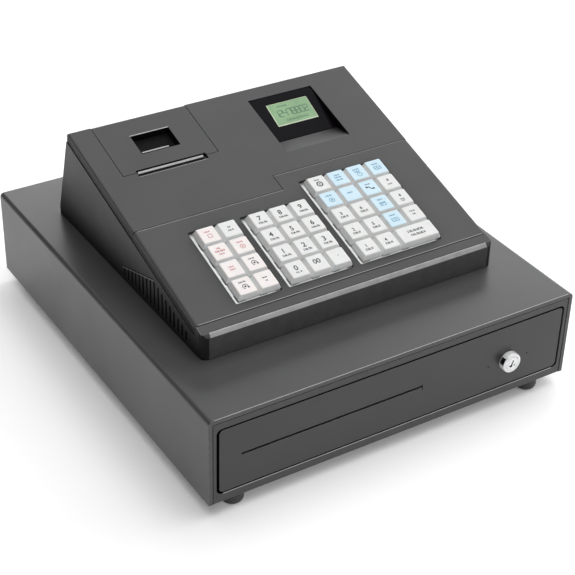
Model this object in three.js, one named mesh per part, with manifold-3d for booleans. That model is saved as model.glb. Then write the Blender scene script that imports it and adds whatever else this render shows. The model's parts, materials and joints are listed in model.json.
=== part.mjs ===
import * as THREE from 'three';
import { mergeVertices } from 'three/addons/utils/BufferGeometryUtils.js';
import Module from 'manifold-3d';

// Electronic cash register on a steel cash drawer. Millimetres, +X to the operator's right,
// +Y to the back, +Z up. The origin is on the counter, in the middle of the footprint.

const wasm = await Module();
wasm.setup();

// ---------------------------------------------------------------- driving dimensions
const GAP = 0.3;                       // clearance between pieces that meet

const CABINET_WIDTH = 410;
const CABINET_DEPTH = 456;
const CABINET_HEIGHT = 94.7;
const STEEL = 1.5;                     // cabinet sheet
const HEM = 4;                         // folded front edge of the cabinet sheet
const HEM_DEPTH = 10;
const FOOT_HEIGHT = 16.3;
const FOOT_RADIUS = 11;
const FOOT_X = 172;
const FOOT_FRONT_Y = -212;
const FOOT_REAR_Y = 202;

const LOCK_X = 130;
const LOCK_RADIUS = 10.5;
const LOCK_PROUD = 7.5;                // how far the lock stands out of the drawer front

const CASE_WIDTH = 332;
const CASE_FRONT = -147.8;
const CASE_REAR = 161;
const CASE_WALL = 2.5;
const CORNER_HEIGHT = 26.7;            // deck to the virtual edge of front face and slope
const SLOPE_ANGLE = THREE.MathUtils.degToRad(16.24);
const RIDGE = 288;                     // front edge to ridge, along the slope
const SKIRT = 11;                      // depth of the covers' side skirts
const GROOVE = 14;                     // seam in front of the keyboard panel
const SEAM_LEFT = 141;                 // seam behind the keyboard panel, left and right
const SEAM_RIGHT = 161.8;
const SEAM_STEP_X = 1.5;

const KEY_PITCH = 23.3;
const KEY_WIDTH = 22.2;
const KEY_DEPTH = 21.8;
const KEY_HEIGHT = 6.5;                // key top above the panel
const KEY_SKIRT = 0.6;                 // key skirt below the panel's face
const KEY_FRONT = 26.4;                // front row's front edge, along the slope
const STEM = 8;
const STEM_END = -12;

// ---------------------------------------------------------------- derived frames
const CABINET_TOP = FOOT_HEIGHT + CABINET_HEIGHT;
const CABINET_FRONT = -CABINET_DEPTH / 2;
const CABINET_REAR = CABINET_DEPTH / 2;
const CENTRE_SHIFT = LOCK_PROUD / 2;   // puts the origin in the middle, lock included
const HALF_CASE = CASE_WIDTH / 2;
const X = new THREE.Vector3(1, 0, 0);
const Y = new THREE.Vector3(0, 1, 0);
const Z = new THREE.Vector3(0, 0, 1);
const SIDE = new THREE.Matrix4().makeBasis(Y, Z, X);                 // shape in (y, z)
const FRONT = new THREE.Matrix4().makeBasis(X, Z, Y.clone().negate()); // shape in (x, z)

// Frame of the sloping top: x across, y up the slope from its front edge, z out of it.
const SLOPE = new THREE.Matrix4().makeRotationX(SLOPE_ANGLE).setPosition(0, CASE_FRONT, CORNER_HEIGHT);

// ---------------------------------------------------------------- solids and their shapes
function solid(geometry, frame = new THREE.Matrix4()) {
  const bare = geometry.clone().applyMatrix4(frame);
  bare.deleteAttribute('normal');
  bare.deleteAttribute('uv');
  const merged = mergeVertices(bare, 1e-4);
  const triangles = [];
  for (let i = 0; i < merged.index.count; i += 3) {
    const [a, b, c] = [0, 1, 2].map((corner) => merged.index.getX(i + corner));
    if (a !== b && b !== c && c !== a) triangles.push(a, b, c);
  }
  const vertProperties = new Float32Array(merged.attributes.position.array);
  return new wasm.Manifold(new wasm.Mesh({ numProp: 3, vertProperties, triVerts: new Uint32Array(triangles) }));
}

function geometryOf(body) {
  const mesh = body.getMesh();
  const geometry = new THREE.BufferGeometry();
  geometry.setAttribute('position', new THREE.BufferAttribute(new Float32Array(mesh.vertProperties), 3));
  geometry.setIndex(new THREE.BufferAttribute(new Uint32Array(mesh.triVerts), 1));
  return geometry;
}

function join(bodies) {
  return bodies.reduce((sum, body) => sum.add(body));
}

function block(x0, x1, y0, y1, z0, z1) {
  const geometry = new THREE.BoxGeometry(x1 - x0, y1 - y0, z1 - z0);
  return geometry.translate((x0 + x1) / 2, (y0 + y1) / 2, (z0 + z1) / 2);
}

function prism(shape, start, end, curveSegments = 4) {
  const geometry = new THREE.ExtrudeGeometry(shape, { depth: end - start, bevelEnabled: false, curveSegments });
  return geometry.translate(0, 0, start);
}

function sidePrism(shape, left, right, curveSegments) {
  return prism(shape, left, right, curveSegments).applyMatrix4(SIDE);
}

function frontPrism(shape, front, back, curveSegments) {
  return prism(shape, -back, -front, curveSegments).applyMatrix4(FRONT);
}

function rodAcross(radius, left, right, y, z, sides = 20) {
  const geometry = new THREE.CylinderGeometry(radius, radius, right - left, sides);
  return geometry.rotateZ(Math.PI / 2).translate((left + right) / 2, y, z);
}

function turned(profile, segments = 28) {
  return new THREE.LatheGeometry(profile.map(([r, h]) => new THREE.Vector2(r, h)), segments);
}

function polygon(points) {
  return new THREE.Shape(points.map(([a, b]) => new THREE.Vector2(a, b)));
}

// A rectangle with its own radius at the bottom and at the top corners.
function rounded(left, right, low, high, lowRadius, highRadius = lowRadius) {
  const shape = new THREE.Shape();
  const quarter = Math.PI / 2;
  const corner = (x, y, radius, start) => {
    if (radius > 0) shape.absarc(x, y, radius, start, start + quarter, false);
    else shape.lineTo(x, y);
  };
  shape.moveTo(left + lowRadius, low);
  corner(right - lowRadius, low + lowRadius, lowRadius, -quarter);
  corner(right - highRadius, high - highRadius, highRadius, 0);
  corner(left + highRadius, high - highRadius, highRadius, quarter);
  corner(left + lowRadius, low + lowRadius, lowRadius, 2 * quarter);
  return shape;
}

function withHoles(shape, holes) {
  shape.holes.push(...holes);
  return shape;
}

// ---------------------------------------------------------------- materials
function finish(color, roughness, metalness) {
  return new THREE.MeshStandardMaterial({ color, roughness, metalness, flatShading: true });
}

const looks = {
  cabinetPaint: () => finish(0x4a4a4b, 0.45, 0.2),
  casePlastic: () => finish(0x3e3e40, 0.6, 0),
  steel: () => finish(0x9a9c9e, 0.4, 0.9),
  chrome: () => finish(0xd8dadc, 0.12, 1),
  rubber: () => finish(0x1c1c1d, 0.85, 0),
  tillPlastic: () => finish(0x222324, 0.6, 0),
  trayWhite: () => finish(0xe4e6e6, 0.45, 0),
  keyWhite: () => finish(0xeceeee, 0.4, 0),
  keyWarm: () => finish(0xf4ecea, 0.4, 0),
  keyBlue: () => finish(0xcfe8f4, 0.4, 0),
  lensBlack: () => finish(0x0b0a0c, 0.12, 0),
  liquidCrystal: () => finish(0x9cc48a, 0.25, 0),
};

function piece(name, body, material) {
  const mesh = new THREE.Mesh(geometryOf(body), material());
  mesh.name = name;
  return mesh;
}

// ---------------------------------------------------------------- cash drawer cabinet
const HEM_X = CABINET_WIDTH / 2 - HEM;
const HEM_TOP = CABINET_TOP - HEM;
const RUNNER_TOP = 58.5;               // ledge that carries the drawer, each side
const CABLE_HOLE = { left: 107, right: 133, low: 32, high: 48, radius: 3 };

function cabinetShell() {
  const half = CABINET_WIDTH / 2;
  const foldRadius = 4.5;
  const panStart = CABINET_FRONT + 9;
  const runnerWidth = 7.5;
  const runnerHalfLength = 205;
  const outside = frontPrism(
    rounded(-half, half, FOOT_HEIGHT, CABINET_TOP, 0, foldRadius), CABINET_FRONT, CABINET_REAR, 5);
  const inside = frontPrism(
    rounded(-half + STEEL, half - STEEL, FOOT_HEIGHT + STEEL, CABINET_TOP - STEEL, 0, foldRadius - STEEL),
    CABINET_FRONT + HEM_DEPTH, CABINET_REAR - STEEL, 5);
  const mouth = block(-HEM_X, HEM_X, CABINET_FRONT - 1, CABINET_FRONT + HEM_DEPTH + 1, FOOT_HEIGHT + STEEL, HEM_TOP);
  const panNotch = block(-HEM_X, HEM_X, CABINET_FRONT - 1, panStart, FOOT_HEIGHT - 1, FOOT_HEIGHT + STEEL + 1);
  const { left, right, low, high, radius } = CABLE_HOLE;
  const cableHole = frontPrism(rounded(left, right, low, high, radius), CABINET_REAR - 2 * STEEL, CABINET_REAR + 1);
  let shell = solid(outside).subtract(solid(inside)).subtract(solid(mouth)).subtract(solid(panNotch));
  shell = shell.subtract(solid(cableHole));
  for (const side of [-1, 1]) {
    const edges = [side * (half - STEEL / 2), side * (half - STEEL - runnerWidth)].sort((a, b) => a - b);
    shell = shell.add(solid(block(
      edges[0], edges[1], -runnerHalfLength, runnerHalfLength, RUNNER_TOP - STEEL, RUNNER_TOP)));
  }
  return piece('cabinet_shell', shell, looks.cabinetPaint);
}

const BEZEL = { depth: 8, barSide: 4.1, openLow: 25.8, openHigh: 98.8, setBack: 0.5 };

function frontBezel() {
  const half = HEM_X - GAP;
  const frame = rounded(-half, half, FOOT_HEIGHT, HEM_TOP - GAP, 0);
  const opening = rounded(-half + BEZEL.barSide, half - BEZEL.barSide, BEZEL.openLow, BEZEL.openHigh, 5.5);
  const front = CABINET_FRONT + BEZEL.setBack;
  const body = solid(frontPrism(withHoles(frame, [opening]), front, front + BEZEL.depth));
  return piece('front_bezel', body, looks.cabinetPaint);
}

function foot(name, x, y) {
  const soften = 2.5;
  const neck = 1.5;
  const profile = [
    [0, 0], [FOOT_RADIUS - soften, 0], [FOOT_RADIUS - 0.8, 0.8], [FOOT_RADIUS, soften],
    [FOOT_RADIUS, FOOT_HEIGHT - GAP - neck], [FOOT_RADIUS - neck, FOOT_HEIGHT - GAP], [0, FOOT_HEIGHT - GAP],
  ];
  const mesh = piece(name, solid(turned(profile, 24).rotateX(Math.PI / 2)), looks.rubber);
  mesh.position.set(x, y, 0);
  return mesh;
}

// ---------------------------------------------------------------- drawer
const PANEL = { half: 194.2, low: 27.4, high: 97.8, radius: 4.5, depth: 13, sheet: 1.5 };
const PANEL_FRONT = CABINET_FRONT + 0.2;
const LOCK_Z = 56.9;
const SLOT = { left: -171.7, right: 27.1, z: 63.5, height: 2.4, tick: 4.5 };
const BOX = { half: 184, front: -226, rear: 180, floor: 30, top: 88, sheet: 1.2, flange: 195.5 };

function drawerFront() {
  const { half, low, high, radius, depth, sheet } = PANEL;
  const pan = frontPrism(rounded(-half, half, low, high, radius), PANEL_FRONT, PANEL_FRONT + depth);
  const back = frontPrism(
    rounded(-half + sheet, half - sheet, low + sheet, high - sheet, radius - sheet),
    PANEL_FRONT + sheet, PANEL_FRONT + depth + 1);
  const slot = block(
    SLOT.left, SLOT.right, PANEL_FRONT - 1, PANEL_FRONT + 3, SLOT.z - SLOT.height / 2, SLOT.z + SLOT.height / 2);
  const tick = block(
    SLOT.right - 1.2, SLOT.right, PANEL_FRONT - 1, PANEL_FRONT + 3, SLOT.z - SLOT.tick, SLOT.z + SLOT.tick / 2);
  const lockHole = new THREE.CylinderGeometry(LOCK_RADIUS - 0.7, LOCK_RADIUS - 0.7, 6, 28);
  lockHole.translate(LOCK_X, PANEL_FRONT, LOCK_Z);
  const body = solid(pan).subtract(solid(back)).subtract(solid(slot)).subtract(solid(tick));
  return piece('drawer_front', body.subtract(solid(lockHole)), looks.cabinetPaint);
}

function drawerBox() {
  const { half, front, rear, floor, top, sheet, flange } = BOX;
  const flangeStart = -205;
  const flangeEnd = 150;
  const flangeLow = RUNNER_TOP + 0.5;
  let body = solid(block(-half, half, front, rear, floor, top));
  body = body.subtract(solid(block(
    -half + sheet, half - sheet, front - 1, rear - sheet, floor + sheet, top + 1)));
  body = body.add(solid(block(half - sheet, flange, flangeStart, flangeEnd, flangeLow, flangeLow + sheet)));
  body = body.add(solid(block(-flange, -half + sheet, flangeStart, flangeEnd, flangeLow, flangeLow + sheet)));
  return piece('drawer_box', body, looks.steel);
}

function lockHousing() {
  const bore = 7.1;
  const proud = -LOCK_PROUD;
  const rear = 20;
  const neck = LOCK_RADIUS - 1;
  const profile = [
    [bore, proud], [LOCK_RADIUS - 0.7, proud], [LOCK_RADIUS, proud + 0.7], [LOCK_RADIUS, 0.2 - GAP],
    [neck, 0.2 - GAP], [neck, rear], [bore, rear], [bore, proud],
  ];
  const mesh = piece('lock_housing', solid(turned(profile)), looks.chrome);
  mesh.position.set(LOCK_X, CABINET_FRONT, LOCK_Z);
  return mesh;
}

function lockCylinder() {
  const radius = 6.8;
  const face = 0.4 - LOCK_PROUD;
  const end = 24;
  const cam = block(-4.5, 4.5, end - 2, end, -5, 18);
  const keyway = block(-0.8, 0.8, face - 1, face + 12, -3.6, 4.4);
  const plug = new THREE.CylinderGeometry(radius, radius, end - face, 28).translate(0, (end + face) / 2, 0);
  const body = solid(plug).add(solid(cam)).subtract(solid(keyway));
  const mesh = piece('lock_cylinder', body, looks.chrome);
  mesh.position.set(LOCK_X, CABINET_FRONT, LOCK_Z);
  return mesh;
}

// ---------------------------------------------------------------- till
const TILL = {
  half: 179, front: -196, floor: 38.5, wall: 2.5, rim: 2.5, dividerTop: 86,
  bays: 5, billLength: 182, coinLength: 84, coinRows: 2,
};
const TILL_INSIDE = TILL.half - TILL.wall;
const TILL_DEPTH = TILL.billLength + TILL.coinRows * TILL.coinLength + (TILL.coinRows + 2) * TILL.wall;
const TILL_REAR = TILL.front + TILL_DEPTH;
const BAY_WIDTH = (2 * TILL_INSIDE - (TILL.bays - 1) * TILL.wall) / TILL.bays;
const CLIP_ROD = { y: TILL_REAR - TILL.wall - 6, z: 84.2, radius: 1.5 };

function bayLeft(index) {
  return -TILL_INSIDE + index * (BAY_WIDTH + TILL.wall);
}

function tillInsert() {
  const { half, front, floor, wall, rim, dividerTop, bays, billLength, coinLength, coinRows } = TILL;
  const rimLow = BOX.top + GAP;
  const rimReach = 4.5;
  let body = solid(block(-half, half, front, TILL_REAR, floor, rimLow + rim));
  body = body.add(solid(block(
    -half - rimReach, half + rimReach, front - 3, TILL_REAR + 3, rimLow, rimLow + rim)));
  const lengths = [...Array(coinRows).fill(coinLength), billLength];
  let start = front + wall;
  for (const length of lengths) {
    for (let bay = 0; bay < bays; bay += 1) {
      const left = bayLeft(bay);
      body = body.subtract(solid(block(left, left + BAY_WIDTH, start, start + length, floor + wall, rimLow + 9)));
    }
    start += length + wall;
  }
  const inside = [-TILL_INSIDE, TILL_INSIDE, front + wall, TILL_REAR - wall];
  body = body.subtract(solid(block(...inside, dividerTop, rimLow + 9)));
  const seat = CLIP_ROD.radius + 0.4;
  const rodSlots = block(
    -TILL_INSIDE, TILL_INSIDE, CLIP_ROD.y - seat, CLIP_ROD.y + seat, CLIP_ROD.z - seat, dividerTop + 5);
  return piece('till_insert', body.subtract(solid(rodSlots)), looks.tillPlastic);
}

function billClips() {
  const reach = 104;
  const armHalf = 5;
  const thick = 1.4;
  const footLow = 42.5;
  const drop = CLIP_ROD.z - footLow;
  const arm = polygon([
    [0, -thick / 2], [0, thick / 2], [-reach + 12, -drop + thick], [-reach, -drop + thick + 5],
    [-reach - thick, -drop + 5], [-reach + 11.5, -drop],
  ]);
  const parts = [solid(rodAcross(CLIP_ROD.radius, -TILL_INSIDE + 0.5, TILL_INSIDE - 0.5, 0, 0, 12))];
  for (let bay = 0; bay < TILL.bays; bay += 1) {
    const centre = bayLeft(bay) + BAY_WIDTH / 2;
    parts.push(solid(sidePrism(arm, centre - armHalf, centre + armHalf)));
    parts.push(solid(block(centre - 20, centre + 20, -reach + 2, -reach + 16, -drop, -drop + thick)));
  }
  const mesh = piece('bill_clips', join(parts), looks.steel);
  mesh.position.set(0, CLIP_ROD.y, CLIP_ROD.z);
  return mesh;
}

// ---------------------------------------------------------------- register case
// The case is one wedge-shaped shell, split along its seams into base, panel and cover.
function linesMeet(p, along, q, direction) {
  const cross = along.x * direction.y - along.y * direction.x;
  const gap = q.clone().sub(p);
  const t = (gap.x * direction.y - gap.y * direction.x) / cross;
  return p.clone().addScaledVector(along, t);
}

function wedge(inset, edgeRadius) {
  const bottom = GAP + inset;
  const upSlope = new THREE.Vector2(Math.cos(SLOPE_ANGLE), Math.sin(SLOPE_ANGLE));
  const outOfSlope = new THREE.Vector2(-upSlope.y, upSlope.x);
  const frontEdge = new THREE.Vector2(CASE_FRONT, CORNER_HEIGHT);
  const ridge = frontEdge.clone().addScaledVector(upSlope, RIDGE);
  const downRear = new THREE.Vector2(CASE_REAR, 0).sub(ridge).normalize();
  const outOfRear = new THREE.Vector2(-downRear.y, downRear.x);
  const slopeStart = frontEdge.clone().addScaledVector(outOfSlope, -inset);
  const rearStart = ridge.clone().addScaledVector(outOfRear, -inset);
  const topFront = linesMeet(slopeStart, upSlope, new THREE.Vector2(CASE_FRONT + inset, 0), new THREE.Vector2(0, 1));
  const topRear = linesMeet(slopeStart, upSlope, rearStart, downRear);
  const foot = linesMeet(rearStart, downRear, new THREE.Vector2(0, bottom), new THREE.Vector2(1, 0));
  const chamferRun = 2.7;
  const chamferDrop = 2.8;
  const before = topRear.clone().addScaledVector(upSlope, -edgeRadius);
  const after = topRear.clone().addScaledVector(downRear, edgeRadius);
  const shape = new THREE.Shape();
  shape.moveTo(topFront.x, bottom);
  shape.lineTo(foot.x, foot.y);
  shape.lineTo(after.x, after.y);
  shape.quadraticCurveTo(topRear.x, topRear.y, before.x, before.y);
  const chamferTop = topFront.clone().addScaledVector(upSlope, chamferRun);
  shape.lineTo(chamferTop.x, chamferTop.y);
  shape.lineTo(topFront.x, topFront.y - chamferDrop);
  return shape;
}

function caseSolid(inset) {
  const half = HALF_CASE - inset;
  const tall = 200;
  const edgeRadius = Math.max(0.5, 2 - inset);
  const frontRadius = 7 - inset;
  const rearRadius = 3.5 - inset;
  const sides = sidePrism(wedge(inset, edgeRadius), -half - 1, half + 1);
  const plan = prism(rounded(-half, half, CASE_FRONT + inset, CASE_REAR - inset, frontRadius, rearRadius), -1, tall);
  const across = frontPrism(rounded(-half, half, -tall, -inset, 0, edgeRadius), -100, RIDGE + 100);
  return solid(sides).intersect(solid(plan)).intersect(solid(across, SLOPE));
}

const caseShell = caseSolid(0).subtract(caseSolid(CASE_WALL));

const FAR = 400;
const VENTS = { first: 8, pitch: 7.8, count: 17, width: 3, low: 5.5, peakY: -54, peakHeight: 34, rise: 0.3 };

// Slots rise to a peak and then follow the slope down towards the front.
function ventHeight(y) {
  const { peakY, peakHeight, rise } = VENTS;
  if (y > peakY) return peakHeight - (y - peakY) * rise;
  return peakHeight + (y - peakY) * Math.tan(SLOPE_ANGLE);
}

function sideVents() {
  const slots = [];
  for (let i = 0; i < VENTS.count; i += 1) {
    const y = VENTS.first - i * VENTS.pitch;
    const shape = rounded(y - VENTS.width / 2, y + VENTS.width / 2, VENTS.low, ventHeight(y), 0);
    slots.push(solid(sidePrism(shape, -HALF_CASE - 1, -HALF_CASE + CASE_WALL + 1)));
    slots.push(solid(sidePrism(shape, HALF_CASE - CASE_WALL - 1, HALF_CASE + 1)));
  }
  return join(slots);
}

const POWER_INLET = { x: 105, z: 20, halfWidth: 6.5, halfHeight: 5.5 };

function powerInletCut() {
  const { x, z, halfWidth, halfHeight } = POWER_INLET;
  const reach = 18;
  return solid(block(x - halfWidth, x + halfWidth, CASE_REAR - reach, CASE_REAR + 2, z - halfHeight, z + halfHeight));
}

function registerBase() {
  const underCovers = solid(block(-FAR, FAR, GROOVE, FAR, -SKIRT - GAP, FAR), SLOPE);
  const ledgeHalf = HALF_CASE - CASE_WALL - GAP;
  const ledge = solid(block(-ledgeHalf, ledgeHalf, GROOVE - 8, GROOVE + 6, -5.2, -CASE_WALL - GAP), SLOPE);
  const rim = solid(block(-ledgeHalf, ledgeHalf, GROOVE - 8, GROOVE, -5.2, -1), SLOPE);
  let body = caseShell.subtract(underCovers).add(ledge).add(rim);
  body = body.subtract(sideVents()).subtract(powerInletCut());
  return piece('register_base', body, looks.casePlastic);
}

// ---------------------------------------------------------------- keyboard
const BLOCKS = [
  {
    left: -117.3,
    rows: [
      ['key_paper_feed', 'key_time'],
      ['key_refund', 'key_void'],
      ['key_pay_out', 'key_return'],
      ['key_clear', 'key_no_sale'],
    ],
  },
  {
    left: -59.6,
    rows: [
      ['key_7', 'key_8', 'key_9'],
      ['key_4', 'key_5', 'key_6'],
      ['key_1', 'key_2', 'key_3'],
      ['key_0', 'key_00', 'key_point'],
    ],
  },
  {
    left: 21.6,
    rows: [
      ['key_clerk', 'key_coupon', 'key_price_check', 'key_currency'],
      ['key_percent', 'key_plus', 'key_price_shift', 'key_page_up'],
      ['key_dept_3', 'key_dept_6', 'key_card', 'key_page_down'],
      ['key_dept_2', 'key_dept_5', 'key_cheque', 'key_subtotal'],
      ['key_dept_1', 'key_dept_4', 'key_cash_total'],
    ],
  },
];
const WARM_KEYS = ['key_paper_feed', 'key_refund', 'key_void', 'key_pay_out', 'key_return', 'key_clear', 'key_no_sale'];
const BLUE_KEYS = [
  'key_coupon', 'key_price_check', 'key_currency', 'key_percent', 'key_plus', 'key_price_shift',
  'key_card', 'key_cheque',
];
const WIDE_KEY = 'key_cash_total';
const WINDOW = { leftMargin: 3.6, rightMargin: 0.6, frontMargin: 1.8, rearMargin: 3.6, radius: 1.5 };

function windowOf({ left, rows }) {
  const columns = rows[0].length;
  const right = left + WINDOW.leftMargin + (columns - 1) * KEY_PITCH + KEY_WIDTH + WINDOW.rightMargin;
  const low = KEY_FRONT - WINDOW.frontMargin;
  const high = KEY_FRONT + (rows.length - 1) * KEY_PITCH + KEY_DEPTH + WINDOW.rearMargin;
  return { left, right, low, high };
}

// Every key: its name, the left and front edge of its skirt, and its width.
function keyPlaces() {
  return BLOCKS.flatMap(({ left, rows }) => rows.flatMap((names, row) => names.map((name, column) => ({
    name,
    left: left + WINDOW.leftMargin + column * KEY_PITCH,
    front: KEY_FRONT + (rows.length - 1 - row) * KEY_PITCH,
    width: name === WIDE_KEY ? KEY_PITCH + KEY_WIDTH : KEY_WIDTH,
  }))));
}

function keyBody(width) {
  const shoulder = 1.6;
  const low = -KEY_SKIRT;
  const acrossTaper = 1.9;
  const frontTaper = 1.4;
  const rearTaper = 0.8;
  const across = polygon([
    [0, low], [width, low], [width, shoulder], [width - acrossTaper, KEY_HEIGHT],
    [acrossTaper, KEY_HEIGHT], [0, shoulder],
  ]);
  const along = polygon([
    [0, low], [KEY_DEPTH, low], [KEY_DEPTH, shoulder], [KEY_DEPTH - rearTaper, KEY_HEIGHT],
    [frontTaper, KEY_HEIGHT], [0, shoulder],
  ]);
  const cap = solid(frontPrism(across, -1, KEY_DEPTH + 1)).intersect(solid(sidePrism(along, -1, width + 1)));
  const stemLeft = (width - STEM) / 2;
  const stemFront = (KEY_DEPTH - STEM) / 2;
  return cap.add(solid(block(stemLeft, stemLeft + STEM, stemFront, stemFront + STEM, STEM_END, 0)));
}

function keys() {
  const narrow = keyBody(KEY_WIDTH);
  const wide = keyBody(KEY_PITCH + KEY_WIDTH);
  return keyPlaces().map(({ name, left, front }) => {
    let material = looks.keyWhite;
    if (WARM_KEYS.includes(name)) material = looks.keyWarm;
    if (BLUE_KEYS.includes(name)) material = looks.keyBlue;
    const key = piece(name, name === WIDE_KEY ? wide : narrow, material);
    key.position.set(left, front, 0);
    return key;
  });
}

const FRAME_TOP = -5;                  // key frame's face, below the panel's
const FRAME_RIBS = [-119.5, -63.5, 17.5, 120.5]; // panel ribs that bear on the key frame

function keyboardPanel() {
  const half = GAP / 2;
  const seam = polygon([
    [-FAR, GROOVE + GAP], [FAR, GROOVE + GAP], [FAR, SEAM_RIGHT - half], [SEAM_STEP_X + half, SEAM_RIGHT - half],
    [SEAM_STEP_X + half, SEAM_LEFT - half], [-FAR, SEAM_LEFT - half],
  ]);
  let body = caseShell.intersect(solid(prism(seam, -SKIRT, 5), SLOPE));
  for (const x of FRAME_RIBS) {
    body = body.add(solid(block(x - 1, x + 1, 30, 118, FRAME_TOP + GAP, -1), SLOPE));
  }
  for (const keyBlock of BLOCKS) {
    const { left, right, low, high } = windowOf(keyBlock);
    body = body.subtract(solid(prism(rounded(left, right, low, high, WINDOW.radius), -8, 8, 3), SLOPE));
  }
  return piece('keyboard_panel', body, looks.casePlastic);
}

// White frame under the panel: a plate with a stem hole for every key, and a lip
// along the left and front of each window.
function keyFrame() {
  const plate = 1.3;
  const lipTop = -0.4;
  const lip = 2.7;
  const cut = 6;
  const nick = 0.8;
  const first = windowOf(BLOCKS[0]);
  const last = windowOf(BLOCKS[2]);
  let body = solid(block(first.left - 4, last.right + 4, first.low - 2, last.high + 4, FRAME_TOP - plate, FRAME_TOP));
  for (const keyBlock of BLOCKS) {
    const { left, right, low, high } = windowOf(keyBlock);
    const l = left + GAP;
    const f = low + GAP;
    const lipOutline = polygon([
      [l + nick, f], [right - cut, f], [right - cut - 1.1, f + 1.1], [l + lip, f + 1.1],
      [l + lip, high - cut - lip], [l, high - cut], [l, f + nick],
    ]);
    body = body.add(solid(prism(lipOutline, FRAME_TOP - plate / 2, lipTop)));
  }
  const clearance = 0.5;
  const reach = STEM / 2 + clearance;
  for (const { left, front, width } of keyPlaces()) {
    const x = left + width / 2;
    const y = front + KEY_DEPTH / 2;
    body = body.subtract(solid(block(x - reach, x + reach, y - reach, y + reach, FRAME_TOP - 3, FRAME_TOP + 1)));
  }
  return piece('key_frame', body, looks.trayWhite);
}

// ---------------------------------------------------------------- display
const DISPLAY = { left: 33.3, right: 110.7, rampStart: 187.8, low: 211.2, high: 270, depth: 9.4, flush: 0.3 };
const LENS_TILT = Math.atan((DISPLAY.depth - DISPLAY.flush) / (DISPLAY.high - DISPLAY.low));
const LENS_LENGTH = Math.hypot(DISPLAY.depth - DISPLAY.flush, DISPLAY.high - DISPLAY.low);
const LENS_X = (DISPLAY.left + DISPLAY.right) / 2;
const LENS_HALF = (DISPLAY.right - DISPLAY.left) / 2;
const LENS_THICK = 2;
const LENS = new THREE.Matrix4().makeRotationX(LENS_TILT).setPosition(LENS_X, DISPLAY.low, -DISPLAY.depth);
const LENS_IN_CASE = SLOPE.clone().multiply(LENS);
const GLASS = { left: -22.7, right: 28, low: 18.7, high: 49.5 };
const MODULE = { margin: 4, thick: 3.5 };

function displayBlock() {
  const edge = 3;
  const outline = polygon([
    [DISPLAY.rampStart - edge, -1], [DISPLAY.rampStart - edge, -edge], [DISPLAY.low - edge, -19],
    [DISPLAY.low, -19], [DISPLAY.high + edge, -12], [DISPLAY.high + edge, -1],
  ]);
  return solid(sidePrism(outline, DISPLAY.left - edge, DISPLAY.right + edge), SLOPE);
}

function displayRecess() {
  const hollow = polygon([
    [DISPLAY.rampStart, 0], [DISPLAY.low, -DISPLAY.depth], [DISPLAY.high, -DISPLAY.flush],
    [DISPLAY.high, 2], [DISPLAY.rampStart, 2],
  ]);
  const seat = block(-LENS_HALF, LENS_HALF, 0, LENS_LENGTH, -LENS_THICK - GAP, 1);
  const { left, right, low, high } = GLASS;
  const m = MODULE.margin + GAP;
  const pocket = block(left - m, right + m, low - m, high + m, -LENS_THICK - MODULE.thick - 3 * GAP, 0);
  const cuts = [
    solid(sidePrism(hollow, DISPLAY.left, DISPLAY.right), SLOPE),
    solid(seat, LENS_IN_CASE),
    solid(pocket, LENS_IN_CASE),
  ];
  return join(cuts);
}

function displayWindow() {
  const { left, right, low, high } = GLASS;
  const outline = rounded(-LENS_HALF + GAP, LENS_HALF - GAP, GAP, LENS_LENGTH - GAP, 2, 5);
  const aperture = rounded(left, right, low, high, 0);
  const body = solid(prism(withHoles(outline, [aperture]), -LENS_THICK, 0));
  return piece('display_window', body, looks.lensBlack);
}

function lcdPanel() {
  const { left, right, low, high } = GLASS;
  const m = MODULE.margin;
  const top = -LENS_THICK - GAP;
  const body = solid(block(left - m, right + m, low - m, high + m, top - MODULE.thick, top));
  const glass = solid(block(left + GAP, right - GAP, low + GAP, high - GAP, top - 1, -1));
  return piece('lcd_panel', body.add(glass), looks.liquidCrystal);
}

// ---------------------------------------------------------------- printer
const DOOR = { left: -140.8, right: -33.3, front: 212.5, thick: 2.4 };
const KNUCKLE = { radius: 3.2, y: RIDGE - 3.2, z: -3.2 };
const PIN = { radius: 1.4, length: 2.4 };
const EXIT = { left: -125.5, right: -47.5, low: 206.9, high: 215.7 };
const BAY = { left: -127, right: -47, front: 214, rear: 273, radius: 27, centre: -26 };
const POCKET = { left: -108.4, right: -65.3, low: 235.4, high: 262.5, depth: 8.6, wall: 2.2 };
const PLATEN = { y: 220.2, z: -9, radius: 4.5, left: -121.8, right: -52.2, shaft: 1.6 };

// Section of the paper bay, seen from the side, widened all round by the wall.
function baySection(wall, top) {
  const centre = BAY.rear - BAY.radius;
  const shape = new THREE.Shape();
  shape.moveTo(BAY.front - wall, top);
  shape.lineTo(BAY.front - wall, -16 - wall / 2);
  shape.lineTo(centre - BAY.radius - wall, BAY.centre);
  shape.absarc(centre, BAY.centre, BAY.radius + wall, Math.PI, 2 * Math.PI, false);
  shape.lineTo(BAY.rear + wall, top);
  return shape;
}

function printerDeck() {
  const rim = 3.2;
  const deckBottom = -5.2;
  const wall = 2;
  const cheek = 4;
  const deck = block(DOOR.left - rim, DOOR.right + rim, EXIT.low - rim, KNUCKLE.y, deckBottom, -1);
  const tub = sidePrism(baySection(wall, -4), BAY.left - wall, BAY.right + wall, 8);
  const cheeks = [DOOR.left - cheek, DOOR.right].map((x) => block(x, x + cheek, KNUCKLE.y - 5, RIDGE - 1, -7.5, -1));
  return join([deck, tub, ...cheeks].map((geometry) => solid(geometry, SLOPE)));
}

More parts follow.
